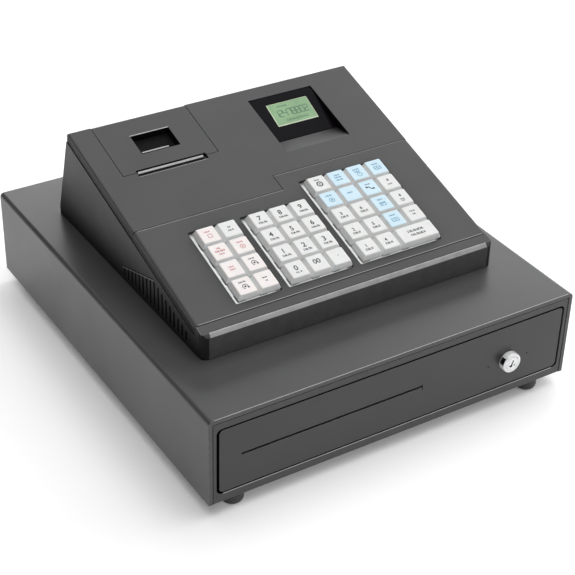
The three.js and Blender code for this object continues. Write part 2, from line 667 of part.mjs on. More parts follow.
function printerCuts() {
  const deckTop = -3;
  const knuckleLow = KNUCKLE.z - KNUCKLE.radius - 0.5;
  const floor = -2.4;
  const cuts = [
    block(DOOR.left, DOOR.right, DOOR.front, FAR, deckTop, 10),
    block(DOOR.left, DOOR.right, KNUCKLE.y - KNUCKLE.radius - 0.6, FAR, knuckleLow, 10),
    block(EXIT.left, EXIT.right, EXIT.low, EXIT.high, floor, 10),
    sidePrism(baySection(0, 10), BAY.left, BAY.right, 8),
    rodAcross(PIN.radius + 0.3, DOOR.left - PIN.length - 0.5, DOOR.right + PIN.length + 0.5, KNUCKLE.y, KNUCKLE.z, 16),
  ];
  return join(cuts.map((geometry) => solid(geometry, SLOPE)));
}

function topCover() {
  const half = GAP / 2;
  const seam = polygon([
    [-FAR, SEAM_LEFT + half], [SEAM_STEP_X - half, SEAM_LEFT + half], [SEAM_STEP_X - half, SEAM_RIGHT + half],
    [FAR, SEAM_RIGHT + half], [FAR, FAR], [-FAR, FAR],
  ]);
  let body = caseShell.intersect(solid(prism(seam, -SKIRT, 5), SLOPE));
  body = body.add(displayBlock()).add(printerDeck());
  return piece('top_cover', body.subtract(displayRecess()).subtract(printerCuts()), looks.casePlastic);
}

function printerCover() {
  const { left, right, low, high, depth, wall } = POCKET;
  const doorLeft = DOOR.left + GAP;
  const doorRight = DOOR.right - GAP;
  const bracket = 2.5;
  const bracketEnds = [PLATEN.left - 0.7 - bracket, PLATEN.right + 0.7];
  let body = solid(block(doorLeft, doorRight, DOOR.front + GAP, KNUCKLE.y, -DOOR.thick, 0));
  body = body.add(solid(rodAcross(KNUCKLE.radius, doorLeft, doorRight, KNUCKLE.y, KNUCKLE.z, 32)));
  body = body.add(solid(rodAcross(
    PIN.radius, DOOR.left - PIN.length, DOOR.right + PIN.length, KNUCKLE.y, KNUCKLE.z, 16)));
  body = body.subtract(solid(block(EXIT.left, EXIT.right, DOOR.front - 1, EXIT.high, -9, 5)));
  body = body.add(solid(block(left - wall, right + wall, low - wall, high + wall, -depth - wall, -1)));
  body = body.subtract(solid(block(left, right, low, high, -depth, 5)));
  body = body.add(solid(block(left + 3, left + 33, low - 1, low + 5.6, -5, -3.5)));
  for (const start of bracketEnds) {
    body = body.add(solid(block(start, start + bracket, PLATEN.y - 4.2, PLATEN.y + 5, -13, -1)));
  }
  const shaftHole = rodAcross(PLATEN.shaft + 0.3, BAY.left, BAY.right, PLATEN.y, PLATEN.z, 16);
  return piece('printer_cover', body.subtract(solid(shaftHole)), looks.casePlastic);
}

function platenRoller() {
  const overhang = 3.6;
  const roller = solid(rodAcross(PLATEN.radius, PLATEN.left, PLATEN.right, 0, 0, 24));
  const shaft = solid(rodAcross(PLATEN.shaft, PLATEN.left - overhang, PLATEN.right + overhang, 0, 0, 16));
  const mesh = piece('platen_roller', roller.add(shaft), looks.rubber);
  mesh.position.set(0, PLATEN.y, PLATEN.z);
  return mesh;
}

function tearBar() {
  const floor = -2.4 + GAP;
  const section = polygon([[0, floor], [2.9, floor], [2.9, 0.3], [0.5, 0.1], [0, -0.4]]);
  const body = solid(sidePrism(section, EXIT.left + 1.2, EXIT.right - 3.5));
  const mesh = piece('tear_bar', body, looks.steel);
  mesh.position.set(0, BAY.front - 3.2, 0);
  return mesh;
}

// ---------------------------------------------------------------- assembly
function slopePieces() {
  const group = new THREE.Group();
  group.position.set(0, CASE_FRONT, CORNER_HEIGHT);
  group.rotation.x = SLOPE_ANGLE;
  group.add(keyFrame(), ...keys(), printerCover(), platenRoller(), tearBar());
  const lens = new THREE.Group();
  lens.position.set(LENS_X, DISPLAY.low, -DISPLAY.depth);
  lens.rotation.x = LENS_TILT;
  lens.add(displayWindow(), lcdPanel());
  group.add(lens);
  return group;
}

function registerCase() {
  const group = new THREE.Group();
  group.position.z = CABINET_TOP;
  group.add(registerBase(), topCover(), keyboardPanel(), slopePieces());
  return group;
}

function cashDrawer() {
  const group = new THREE.Group();
  group.add(cabinetShell(), frontBezel());
  group.add(foot('foot_front_left', -FOOT_X, FOOT_FRONT_Y), foot('foot_front_right', FOOT_X, FOOT_FRONT_Y));
  group.add(foot('foot_rear_left', -FOOT_X, FOOT_REAR_Y), foot('foot_rear_right', FOOT_X, FOOT_REAR_Y));
  group.add(drawerBox(), drawerFront(), lockHousing(), lockCylinder(), tillInsert(), billClips());
  return group;
}

const register = new THREE.Group();
register.position.y = CENTRE_SHIFT;
register.add(cashDrawer(), registerCase());

export default register;
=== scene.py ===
"""Cash register: materials, detailed pieces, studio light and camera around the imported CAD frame."""

import json
import math

import bmesh
import bpy
from mathutils import Matrix, Vector

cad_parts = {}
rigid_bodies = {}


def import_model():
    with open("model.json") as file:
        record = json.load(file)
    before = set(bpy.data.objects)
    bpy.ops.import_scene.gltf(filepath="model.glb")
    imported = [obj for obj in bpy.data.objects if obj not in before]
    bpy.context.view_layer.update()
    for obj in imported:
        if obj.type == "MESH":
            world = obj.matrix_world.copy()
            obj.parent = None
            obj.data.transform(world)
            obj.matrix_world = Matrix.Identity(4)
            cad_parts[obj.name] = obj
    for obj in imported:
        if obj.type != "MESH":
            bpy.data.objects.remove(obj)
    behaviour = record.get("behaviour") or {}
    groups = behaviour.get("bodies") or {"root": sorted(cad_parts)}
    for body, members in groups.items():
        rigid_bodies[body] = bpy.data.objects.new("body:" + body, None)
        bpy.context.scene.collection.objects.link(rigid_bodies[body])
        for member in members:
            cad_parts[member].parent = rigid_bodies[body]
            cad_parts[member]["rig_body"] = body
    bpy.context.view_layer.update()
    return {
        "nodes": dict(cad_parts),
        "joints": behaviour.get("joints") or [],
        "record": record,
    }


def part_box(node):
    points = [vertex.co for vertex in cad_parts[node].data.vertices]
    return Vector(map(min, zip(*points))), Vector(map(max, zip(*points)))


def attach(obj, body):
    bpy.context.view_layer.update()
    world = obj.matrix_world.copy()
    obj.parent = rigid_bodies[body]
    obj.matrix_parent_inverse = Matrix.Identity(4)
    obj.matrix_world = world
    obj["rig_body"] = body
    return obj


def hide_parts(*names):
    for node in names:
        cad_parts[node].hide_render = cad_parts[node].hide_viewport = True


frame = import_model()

NODES = frame["nodes"]
SLOT_OF = {entry["node"]: entry["material_slot"] for entry in frame["record"]["subparts"]}
MM = 0.001
UP = Vector((0, 0, 1))

# Sizes in metres
KEY_RISE = 6.5 * MM  # key top above the panel
KEY_SKIRT = 0.6 * MM  # key skirt below the panel's face
DISH = 0.22 * MM  # hollow of a key top
STEM = 4 * MM  # half the width of a key's stem
PROUD = 0.05 * MM  # how far print and fine lines stand out of a surface
SUNK = 0.3 * MM  # how deep they are set into it
FASCIA_RIM = 6 * MM  # width of the drawer front's outer rim
MERGE = 0.004 * MM  # CAD corners closer than this are one corner

# Sizes in millimetres
TOP_EDGE = 2.9  # from the side of a key's skirt in to the edge of its top
FLOOR_EDGE = 8.6  # and in to where the hollow is deepest
FRONT_SHIFT = 0.5  # how much less a key top is inset at the front
REAR_SHIFT = 1.1  # and at the rear
EDGE_RADIUS = 2.0  # CAD rounding along the case's long edges
SKIRT_DEPTH = 11.0  # depth of the covers' side skirts
CORNER_RADIUS = 7.0  # rounding of the case's front corners
CHAMFER_STOP = 1.5  # between the chamfer's painted sheen and a corner
MODULE_MARGIN = 4.0  # crystal module beyond the lens opening
WELL = {"left": -108.4, "right": -65.3, "front": 235.4, "rear": 262.5}  # finger well in the printer cover
LIP = {"left": -105.4, "right": -75.4, "rear": 241.0, "top": -3.5}  # ledge inside the finger well

# What counts as a side, a front and a crease
SIDE_SLOPE = 0.6  # a key cap face with a lower upward normal is a plain white side
FRONTAL = 5  # a face turned less than this many degrees looks to the front
CREASE = 30  # degrees between two faces
SHALLOW_CREASE = 12  # the same between two large flats
CREASE_FLAT = 300 * MM * MM  # area of a large flat
QUARTER = math.pi / 2


def move(x, y, z):
    return Matrix.Translation((x, y, z))


# ------------ the sloping top's own frame
def slope_frame():
    """Matrix of the keyboard slope: x across, y up the slope from the front face, z out of it."""
    inward = Vector(next(j["axis"] for j in frame["joints"] if j["name"] == "key_5_press"))
    normal = -inward
    key_top = max(normal.dot(vertex.co) for vertex in NODES["key_5"].data.vertices)
    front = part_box("register_base")[0].y
    height = (key_top - KEY_RISE - normal.y * front) / normal.z
    tilt = math.atan2(inward.y, normal.z)
    return move(0, front, height) @ Matrix.Rotation(tilt, 4, "X")


SLOPE = slope_frame()
TO_SLOPE = SLOPE.inverted()


def on_slope(point):
    """A point's place in the slope's frame, in millimetres."""
    return (TO_SLOPE @ point) / MM


def local_box(node, matrix):
    """Lowest and highest corner of a CAD node, measured in another frame."""
    inverse = matrix.inverted()
    points = [inverse @ vertex.co for vertex in NODES[node].data.vertices]
    low = Vector(min(p[i] for p in points) for i in range(3))
    high = Vector(max(p[i] for p in points) for i in range(3))
    return low, high


# ------------ materials
class Shader:
    """A Principled material and short ways to add nodes to it."""

    def __init__(self, name, color, roughness, metallic=0.0):
        self.material = bpy.data.materials.new(name)
        self.material.use_nodes = True
        self.nodes = self.material.node_tree.nodes
        self.link = self.material.node_tree.links.new
        self.bsdf = self.nodes["Principled BSDF"]
        self.set(Base_Color=(*color, 1), Roughness=roughness, Metallic=metallic)
        self.color = color
        self.roughness = roughness
        self.place = self.nodes.new("ShaderNodeTexCoord").outputs["Object"]

    def node(self, kind, **values):
        """A new node with constant values on its inputs."""
        node = self.nodes.new("ShaderNode" + kind)
        for name, value in values.items():
            node.inputs[name.replace("_", " ")].default_value = value
        return node

    def noise(self, scale, detail=2.0, roughness=0.5, stretch=None):
        """Cloudy pattern fixed to the object; a scale for each axis stretches it."""
        node = self.node("TexNoise", Scale=scale, Detail=detail, Roughness=roughness)
        source = self.place
        if stretch:
            mapping = self.node("Mapping", Scale=stretch)
            self.link(source, mapping.inputs["Vector"])
            source = mapping.outputs["Vector"]
        self.link(source, node.inputs["Vector"])
        return node.outputs["Fac"]

    def ramp(self, source, low, high, low_value=0.0, high_value=1.0):
        """Maps the range from low to high to two new values."""
        node = self.node("MapRange", From_Min=low, From_Max=high, To_Min=low_value, To_Max=high_value)
        self.link(source, node.inputs["Value"])
        return node.outputs["Result"]

    def paint(self, factor, first, second):
        """Makes the base colour a blend of two colours, each a tuple or another node's output."""
        node = self.node("Mix")
        node.data_type = "RGBA"
        color_a, color_b, color_out = node.inputs[6], node.inputs[7], node.outputs[2]
        self.link(factor, node.inputs["Factor"])
        for socket, value in ((color_a, first), (color_b, second)):
            if isinstance(value, tuple):
                socket.default_value = (*value, 1)
            else:
                self.link(value, socket)
        self.tint = color_out
        self.link(self.tint, self.bsdf.inputs["Base Color"])
        return self

    def mottle(self, scale, amount):
        """Slow variation of the colour."""
        factor = self.ramp(self.noise(scale, 4.0), 0.35, 0.65)
        dark = tuple(c * (1 - amount) for c in self.color)
        light = tuple(min(1.0, c * (1 + amount)) for c in self.color)
        return self.paint(factor, dark, light)

    def smudge(self, scale, amount):
        """Slow variation of the gloss."""
        value = self.ramp(self.noise(scale, 5.0, 0.6), 0.3, 0.7,
                          self.roughness - amount, self.roughness + amount)
        self.link(value, self.bsdf.inputs["Roughness"])
        return self

    def wear(self, radius, color, strength):
        """Lighter, patchy paint where an edge is sharper than the radius: partly wear, partly a painted
        highlight along the edges.
        """
        bevel = self.node("Bevel", Radius=radius)
        bevel.samples = 4
        geometry = self.node("NewGeometry")
        dot = self.node("VectorMath")
        dot.operation = "DOT_PRODUCT"
        self.link(bevel.outputs["Normal"], dot.inputs[0])
        self.link(geometry.outputs["Normal"], dot.inputs[1])
        product = self.node("Math")
        product.operation = "MULTIPLY"
        # edge mask: a painted highlight along sharp edges, broken into patches by the noise as wear
        self.link(self.ramp(dot.outputs["Value"], 0.995, 0.88, 0.0, strength), product.inputs[0])
        self.link(self.ramp(self.noise(260, 3.0), 0.35, 0.6), product.inputs[1])
        return self.paint(product.outputs["Value"], self.tint, color)

    def grime(self, reach):
        """Painted shade: darker where another surface stands close, as at the foot of a wall."""
        node = self.node("AmbientOcclusion", Distance=reach)
        node.samples = 6
        factor = self.ramp(node.outputs["AO"], 0.98, 0.68)
        return self.paint(factor, self.tint, tuple(c * 0.15 for c in self.color))

    def bump(self, source, strength, distance):
        """Fine relief of the surface."""
        node = self.node("Bump", Strength=strength, Distance=distance)
        self.link(source, node.inputs["Height"])
        self.link(node.outputs["Normal"], self.bsdf.inputs["Normal"])
        return self

    def set(self, **sockets):
        """Sets constant values on the shader's own sockets."""
        for name, value in sockets.items():
            self.bsdf.inputs[name.replace("_", " ")].default_value = value
        return self


def coat(name, color, roughness, mottle, smudge, grain=None, metallic=0.0):
    """A material with cloudy colour and gloss; grain is a noise's settings, a strength and a depth in mm."""
    shader = Shader(name, color, roughness, metallic).mottle(*mottle).smudge(*smudge)
    if grain:
        noise, strength, depth = grain
        shader.bump(shader.noise(*noise), strength, depth * MM)
    return shader


def cabinet_paint():
    shader = coat("cabinet_powder_coat", (0.058, 0.058, 0.059), 0.34, (9, 0.05), (14, 0.04),
                  ((1100,), 0.2, 0.06))
    return shader.wear(0.7 * MM, (0.30, 0.30, 0.30), 0.8)


def drawer_paint():
    shader = coat("drawer_powder_coat", (0.032, 0.032, 0.033), 0.38, (11, 0.05), (16, 0.04),
                  ((1200,), 0.2, 0.06))
    return shader.wear(0.6 * MM, (0.26, 0.26, 0.26), 0.8)


def case_plastic():
    shader = coat("case_charcoal_plastic", (0.057, 0.057, 0.059), 0.5, (13, 0.04), (19, 0.04),
                  ((1500, 3.0, 0.7), 0.3, 0.05))
    # the case plastic gets painted shade near the deck and in its creases
    return shader.wear(0.5 * MM, (0.17, 0.17, 0.17), 0.6).grime(90 * MM).set(Specular_IOR_Level=0.35)


def plain(name, color, roughness, specular=0.5, metallic=0.0):
    """A small accent: print, an engraving, a dark joint, or painted light and shade: highlight lines, sheen,
    shaded recesses and lit or shaded copies of a material.
    """
    shader = coat(name, color, roughness, (120, 0.08), (90, 0.05), None, metallic)
    return shader.set(Specular_IOR_Level=specular)


def drawer_steel():
    """Zinc plate with its spangle."""
    shader = Shader("zinc_plated_steel", (0.50, 0.51, 0.52), 0.42, 0.9)
    spangle = shader.node("TexVoronoi", Scale=70)
    shader.link(shader.place, spangle.inputs["Vector"])
    flake = shader.ramp(spangle.outputs["Distance"], 0.0, 0.7)
    shader.paint(flake, (0.42, 0.43, 0.45), (0.58, 0.59, 0.60)).smudge(30, 0.08)
    return shader.bump(shader.noise(500), 0.1, 0.05 * MM)


def brushed(name, color, roughness, stretch, metallic=1.0):
    """Metal with fine lines along the axis that the pattern is stretched on."""
    grain = ((900, 3.0, 0.6, stretch), 0.15, 0.03)
    return coat(name, color, roughness, (60, 0.06), (40, 0.06), grain, metallic)


def key_plastic(name, color):
    shader = coat(name, color, 0.36, (90, 0.02), (60, 0.05), ((1800,), 0.12, 0.03))
    return shader.set(Subsurface_Weight=0.06, Subsurface_Scale=1.0 * MM)


def smoked_glass():
    shader = coat("smoked_acrylic", (0.006, 0.005, 0.007), 0.22, (20, 0.08), (25, 0.04))
    return shader.set(Specular_IOR_Level=0.03)


def rubber(name, color, roughness):
    return coat(name, color, roughness, (50, 0.12), (60, 0.08), ((1400, 3.0), 0.3, 0.06))


def till_plastic():
    shader = coat("till_black_plastic", (0.026, 0.026, 0.028), 0.5, (15, 0.12), (22, 0.08),
                  ((900, 4.0, 0.7), 0.4, 0.10))
    return shader.wear(0.9 * MM, (0.07, 0.07, 0.07), 0.6)


SHADERS = {
    "cabinet_paint": cabinet_paint(),
    "drawer_paint": drawer_paint(),
    "case_plastic": case_plastic(),
    "drawer_steel": drawer_steel(),
    "bright_steel": brushed("bright_stamped_steel", (0.80, 0.80, 0.81), 0.34, (0.05, 1, 1), 0.3),
    "clip_steel": brushed("plated_spring_steel", (0.55, 0.56, 0.57), 0.3, (1, 0.05, 1)),
    "lock_chrome": brushed("bright_nickel", (0.93, 0.93, 0.94), 0.3, (1, 0.2, 1), 0.2),
    "key_white": key_plastic("key_white_plastic", (0.74, 0.745, 0.74)),
    "key_warm_white": key_plastic("key_warm_white_plastic", (0.82, 0.775, 0.76)),
    "key_blue": key_plastic("key_blue_plastic", (0.58, 0.76, 0.86)),
    "tray_plastic": coat("white_tray_plastic", (0.80, 0.81, 0.81), 0.4, (80, 0.03), (50, 0.05),
                         ((1500,), 0.12, 0.03)),
    "display_glass": smoked_glass(),
    "liquid_crystal": coat("liquid_crystal_green", (0.205, 0.37, 0.18), 0.35, (45, 0.10), (30, 0.05),
                           ((2500, 1.0), 0.05, 0.02)),
    "platen_rubber": rubber("platen_rubber", (0.035, 0.035, 0.036), 0.7),
    "foot_rubber": rubber("foot_rubber", (0.030, 0.030, 0.031), 0.5),
    "till_plastic": till_plastic(),
}

# Accents: each one's name, colour, roughness, specular level and metalness
ACCENT_LOOKS = {
    "dark": ("legend_dark_grey", (0.020, 0.020, 0.024), 0.5),
    "red": ("legend_red", (0.50, 0.09, 0.09), 0.5),
    "blue": ("legend_cyan", (0.04, 0.24, 0.42), 0.5),
    "segment": ("segment_green", (0.075, 0.17, 0.085), 0.4),
    "bright green": ("crystal_edge_green", (0.55, 0.63, 0.45), 0.35),
    # black: the crystal module's case, and painted shade in recesses, gaps and holes
    "black": ("recess_black", (0.006, 0.006, 0.006), 0.7, 0.1),
    # painted sheen: a highlight on the front chamfer
    "sheen": ("polished_rim", (0.34, 0.34, 0.34), 0.3),
    # painted highlight lines along seams and edges
    "line": ("light_edge_line", (0.27, 0.27, 0.27), 0.4),
    # painted highlight lines on edges that catch the light
    "bright": ("bright_edge_line", (0.42, 0.42, 0.42), 0.35),
    # dark marks and joints, and painted shade on corners, gaps and lines
    "mark": ("pressed_mark", (0.016, 0.016, 0.017), 0.6, 0.2),
    # painted shade: a darker copy of the case plastic for the side skirts
    "skirt": ("skirt_charcoal", (0.030, 0.030, 0.031), 0.6, 0.2),
    # painted light: a lighter copy of the case plastic for the lit front face
    "front": ("front_face_charcoal", (0.078, 0.078, 0.079), 0.45, 0.35),
    "bezel": ("bezel_charcoal", (0.040, 0.040, 0.041), 0.38),
    "shade": ("nickel_dark_reflection", (0.012, 0.012, 0.013), 0.3, 0.5, 0.5),
}
MATERIALS = {slot: shader.material for slot, shader in SHADERS.items()}
MATERIALS |= {accent: plain(*look).material for accent, look in ACCENT_LOOKS.items()}


def numbered(*accents):
    """The accents of a piece with their material indices, which follow the piece's own material."""
    return {accent: index for index, accent in enumerate(accents, 1)}


PANEL = numbered("skirt", "line")
COVER = numbered("skirt", "line", "black")
CASE = numbered("sheen", "black", "line", "bright", "mark", "front")
LID = numbered("black", "bright")
CRYSTAL = numbered("bright green", "segment", "black")
FASCIA = numbered("mark", "black")
BEZEL = numbered("mark", "bright", "bezel", "black")


# ------------ making pieces
def add_object(name, data):
    """Puts a new object into the scene."""
    holder = bpy.data.objects.new(name, data)
    bpy.context.scene.collection.objects.link(holder)
    return holder


def finish_piece(name, bm, materials, body, nodes=(), matrix=None, sharp=35):
    """Turns mesh code into a piece that rides on a body and stands for its CAD nodes."""
    bmesh.ops.recalc_face_normals(bm, faces=bm.faces)
    mesh = bpy.data.meshes.new(name)
    bm.to_mesh(mesh)
    bm.free()
    if matrix:
        mesh.transform(matrix)
    mesh.polygons.foreach_set("use_smooth", [True] * len(mesh.polygons))
    mesh.set_sharp_from_angle(angle=math.radians(sharp))
    piece = add_object(name, mesh)
    for material in materials:
        mesh.materials.append(material)
    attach(piece, body)
    if nodes:
        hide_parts(*nodes)
    return piece


def stand_in(node, name, bm, accents=(), matrix=None, sharp=35):
    """Finishes a piece that stands for one CAD node: material 0 is the node's own, and the accents follow."""
    slot = SLOT_OF[node]
    materials = [MATERIALS[look] for look in (slot, *accents)]
    return finish_piece(name, bm, materials, NODES[node]["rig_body"], [node], matrix, sharp)


def soften(piece, width):
    """Rounds the weighted edges of a piece and keeps its flats flat."""
    bevel = piece.modifiers.new("edges", "BEVEL")
    bevel.width = width
    bevel.segments = 2
    bevel.limit_method = "WEIGHT"
    bevel.use_clamp_overlap = False
    bevel.miter_outer = "MITER_ARC"
    normals = piece.modifiers.new("flats", "WEIGHTED_NORMAL")
    normals.keep_sharp = True
    normals.weight = 80
    return piece


def is_crease(edge):
    """A sharp corner, or a shallow one between two large flats."""
    angle = math.degrees(edge.calc_face_angle())
    flats = min(face.calc_area() for face in edge.link_faces) > CREASE_FLAT
    return angle > CREASE or (flats and angle > SHALLOW_CREASE)


def weigh_edges(bm, chosen=None):
    """Picks the creased edges that will be rounded."""
    weight = bm.edges.layers.float.new("bevel_weight_edge")
    for edge in bm.edges:
        if len(edge.link_faces) != 2 or not is_crease(edge):
            continue
        middle = (edge.verts[0].co + edge.verts[1].co) / 2
        if chosen is None or chosen(middle):
            edge[weight] = 1.0


def refined(node, name, width, shape=None, chosen=None, details=None, accents=()):
    """A copy of a CAD node: flats merged, edges rounded, reshaped and detailed by the functions given."""
    bm = bmesh.new()
    bm.from_mesh(NODES[node].data)
    bmesh.ops.remove_doubles(bm, verts=bm.verts, dist=MERGE)
    bmesh.ops.dissolve_limit(bm, angle_limit=math.radians(1.0), verts=bm.verts, edges=bm.edges)
    bm.normal_update()
    if shape:
        shape(bm)
    weigh_edges(bm, chosen)
    if details:
        details(bm)
    return soften(stand_in(node, name, bm, accents), width)


def polar(radius, angle, x=0.0, y=0.0):
    """A point on a circle round (x, y), at an angle in radians."""
    return x + radius * math.cos(angle), y + radius * math.sin(angle)


def rounded_ring(low, high, radius, height, steps=5, low_radius=None):
    """Points round a rectangle with rounded corners; its lower corners may have their own radius."""
    points = []
    other = radius if low_radius is None else low_radius
    centres = ((high[0] - radius, high[1] - radius, radius), (low[0] + radius, high[1] - radius, radius),
               (low[0] + other, low[1] + other, other), (high[0] - other, low[1] + other, other))
    for quarter, (x, y, radius) in enumerate(centres):
        for step in range(steps + 1):
            points.append(Vector((*polar(radius, (quarter + step / steps) * QUARTER, x, y), height)))
    return points


def circle_ring(radius, height, steps):
    """Points round a circle, at one height."""
    turn = 2 * math.pi / steps
    return [Vector((*polar(radius, i * turn), height)) for i in range(steps)]


def loft(bm, rings, close_start=True, close_end=True, loop=False, material=0):
    """Skins rings of equal length, one after another."""
    layers = [[bm.verts.new(point) for point in ring] for ring in rings]
    count = len(layers[0])
    pairs = list(zip(layers, layers[1:]))
    if loop:
        pairs.append((layers[-1], layers[0]))
    faces = []
    for first, second in pairs:
        for i in range(count):
            j = (i + 1) % count
            faces.append(bm.faces.new((first[i], first[j], second[j], second[i])))
    if close_start and not loop:
        faces.append(bm.faces.new(layers[0][::-1]))
    if close_end and not loop:
        faces.append(bm.faces.new(layers[-1]))
    for face in faces:
        face.material_index = material
    return layers


def turned(bm, profile, steps=48, material=0, loop=False):
    """A solid of revolution about Z from (radius, height) pairs in millimetres."""
    rings = [circle_ring(radius * MM, height * MM, steps) for radius, height in profile]
    loft(bm, rings, loop=loop, material=material)


def slab(bm, outline, low, high, material=0):
    """An upright prism over an outline given in metres; low and high may be functions of (x, y)."""
    def level(value, x, y):
        return value(x, y) if callable(value) else value

    rings = [[Vector((x, y, level(value, x, y))) for x, y in outline] for value in (low, high)]
    loft(bm, rings, material=material)


def in_metres(outline):
    return [(x * MM, y * MM) for x, y in outline]


def move_new(bm, known, place):
    """Moves everything but the known corners by a matrix."""
    for vertex in bm.verts:
        if vertex not in known:
            vertex.co = place @ vertex.co


def marks(bm, outlines, place, material, proud=PROUD):
    """Thin shapes laid on a surface; outlines are in millimetres of the surface's own frame."""
    known = set(bm.verts)
    for outline in outlines:
        slab(bm, in_metres(outline), -SUNK, proud, material)
    move_new(bm, known, place)


def strip(left, right, low, high):
    """Outline of an upright rectangle."""
    return [(left, low), (right, low), (right, high), (left, high)]


def plate_frame(node, chosen):
    """Frame on a plane of a CAD node: x across, z out of its largest face that is accepted."""
    face = max((p for p in NODES[node].data.polygons if chosen(p.normal)), key=lambda p: p.area)
    across = Vector((1, 0, 0))
    along = face.normal.cross(across).normalized()
    turn = Matrix((across, along, face.normal)).transposed().to_4x4()
    return move(0, face.center.y, face.center.z) @ turn


# ------------ line art for legends
def bar(x, y, width, height):
    """Outline of a rectangle round its middle."""
    return strip(x - width / 2, x + width / 2, y - height / 2, y + height / 2)


def disc(x, y, radius):
    """Outline of a round dot."""
    return [(x + point.x, y + point.y) for point in circle_ring(radius, 0, 16)]


def arc_band(x, y, radius, width, start, end, steps=16):
    """A stroke of the given width along part of a circle."""
    angles = [math.radians(start + (end - start) * i / steps) for i in range(steps + 1)]
    outer, inner = ([polar(reach, angle, x, y) for angle in angles]
                    for reach in (radius + width / 2, radius - width / 2))
    return outer + inner[::-1]


def stroke(x0, y0, x1, y1, width):
    """A straight stroke between two points."""
    length = math.hypot(x1 - x0, y1 - y0)
    nx, ny = -(y1 - y0) / length * width / 2, (x1 - x0) / length * width / 2
    return [(x0 + nx, y0 + ny), (x0 - nx, y0 - ny), (x1 - nx, y1 - ny), (x1 + nx, y1 + ny)]


def strokes(x, y, width, *lines):
    """Straight strokes whose ends are given from a middle point."""
    return [stroke(x + a, y + b, x + c, y + d, width) for a, b, c, d in lines]


def frame_strokes(x, y, width, height, line):
    """The four sides of a drawn rectangle."""
    w, h = width / 2, height / 2
    return [bar(x, y + h, width + line, line), bar(x, y - h, width + line, line),
            bar(x - w, y, line, height - line), bar(x + w, y, line, height - line)]


def ring_strokes(x, y, radius, width):
    """A drawn circle, in two halves."""
    return [arc_band(x, y, radius, width, 0, 178), arc_band(x, y, radius, width, 180, 358)]


def word(y, letters, height=1.5, x=0.0):
    """A row of small made-up letters that looks like a short printed word."""
    size = height * 1.15
    pitch = size * 0.8
    line = max(0.36, size * 0.24)
    left = x - (letters - 1) * pitch / 2
    shapes = []
    for i in range(letters):
        centre = left + i * pitch
        side = size * 0.24
        shapes.append(bar(centre - side, y, line, size))
        level = (1, 0, -1)[i % 3] * (size - line) / 2
        shapes.append(bar(centre + side * 0.3, y + level, side * 1.6, line))
        if i % 2:
            shapes.append(bar(centre + side, y, line, size))
        else:
            shapes.append(bar(centre + side * 0.3, y - (size - line) / 2, side * 1.6, line))
    return shapes


def turn_arrow(x, y, radius):
    """A circular arrow round a dot."""
    tip = radius * 0.55
    base = y - radius * 0.35
    head = [(x + radius - tip, base), (x + radius + tip, base), (x + radius, y - radius * 1.1)]
    return [arc_band(x, y, radius, 0.75, -30, 250, 20), disc(x, y, radius * 0.42), head]


def up_arrow(x, y, size, sign=1):
    """An arrow that points up, or down where the sign is -1."""
    height = size * sign
    head = [(x - size * 0.7, y), (x + size * 0.7, y), (x, y + height)]
    return [head, bar(x, y - height * 0.35, size * 0.5, size * 0.7)]


def receipt_icon(x, y):
    """A slip of paper with a torn lower edge."""
    return [bar(x, y + 2.3, 4.6, 0.5),
            *strokes(x, y, 0.5, (-2.0, 2.2, -2.0, -2.4), (2.0, 2.2, 2.0, -2.4), (-2.0, -2.4, -0.7, -1.5),
                     (-0.7, -1.5, 0.7, -2.4), (0.7, -2.4, 2.0, -1.6))]


def clock_icon(x, y):
    return [*ring_strokes(x, y, 2.6, 0.5), *strokes(x, y, 0.5, (0, 0, 0, 1.8), (0, 0, 1.3, 0))]


def card_icon(x, y):
    return [*frame_strokes(x, y, 6.4, 4.2, 0.5), bar(x, y + 0.9, 6.4, 0.9), bar(x - 1.4, y - 1.1, 2.2, 0.5)]


def note_icon(x, y):
    return [*frame_strokes(x, y, 7.6, 4.4, 0.55), *ring_strokes(x, y, 1.2, 0.5), bar(x - 2.7, y, 0.5, 1.6),
            bar(x + 2.7, y, 0.5, 1.6)]


def coin_icon(x, y):
    return [*ring_strokes(x, y, 2.7, 0.6), disc(x, y, 1.1)]


def cross_icon(x, y):
    return [*ring_strokes(x, y, 2.6, 0.5),
            *strokes(x, y, 0.5, (-1.3, -1.3, 1.3, 1.3), (-1.3, 1.3, 1.3, -1.3))]


def zigzag_icon(x, y):
    """A bold step down between two dots."""
    return [*strokes(x, y, 1.1, (-3.6, 1.6, -0.8, 1.6), (-1.2, 1.9, 1.2, -1.9), (0.8, -1.6, 3.6, -1.6)),
            disc(x - 3.4, y + 1.6, 1.2), disc(x + 3.4, y - 1.6, 1.2)]


def words(*rows):
    """Rows of made-up letters, each given as its place, number of letters and height."""
    return [shape for row in rows for shape in word(*row)]


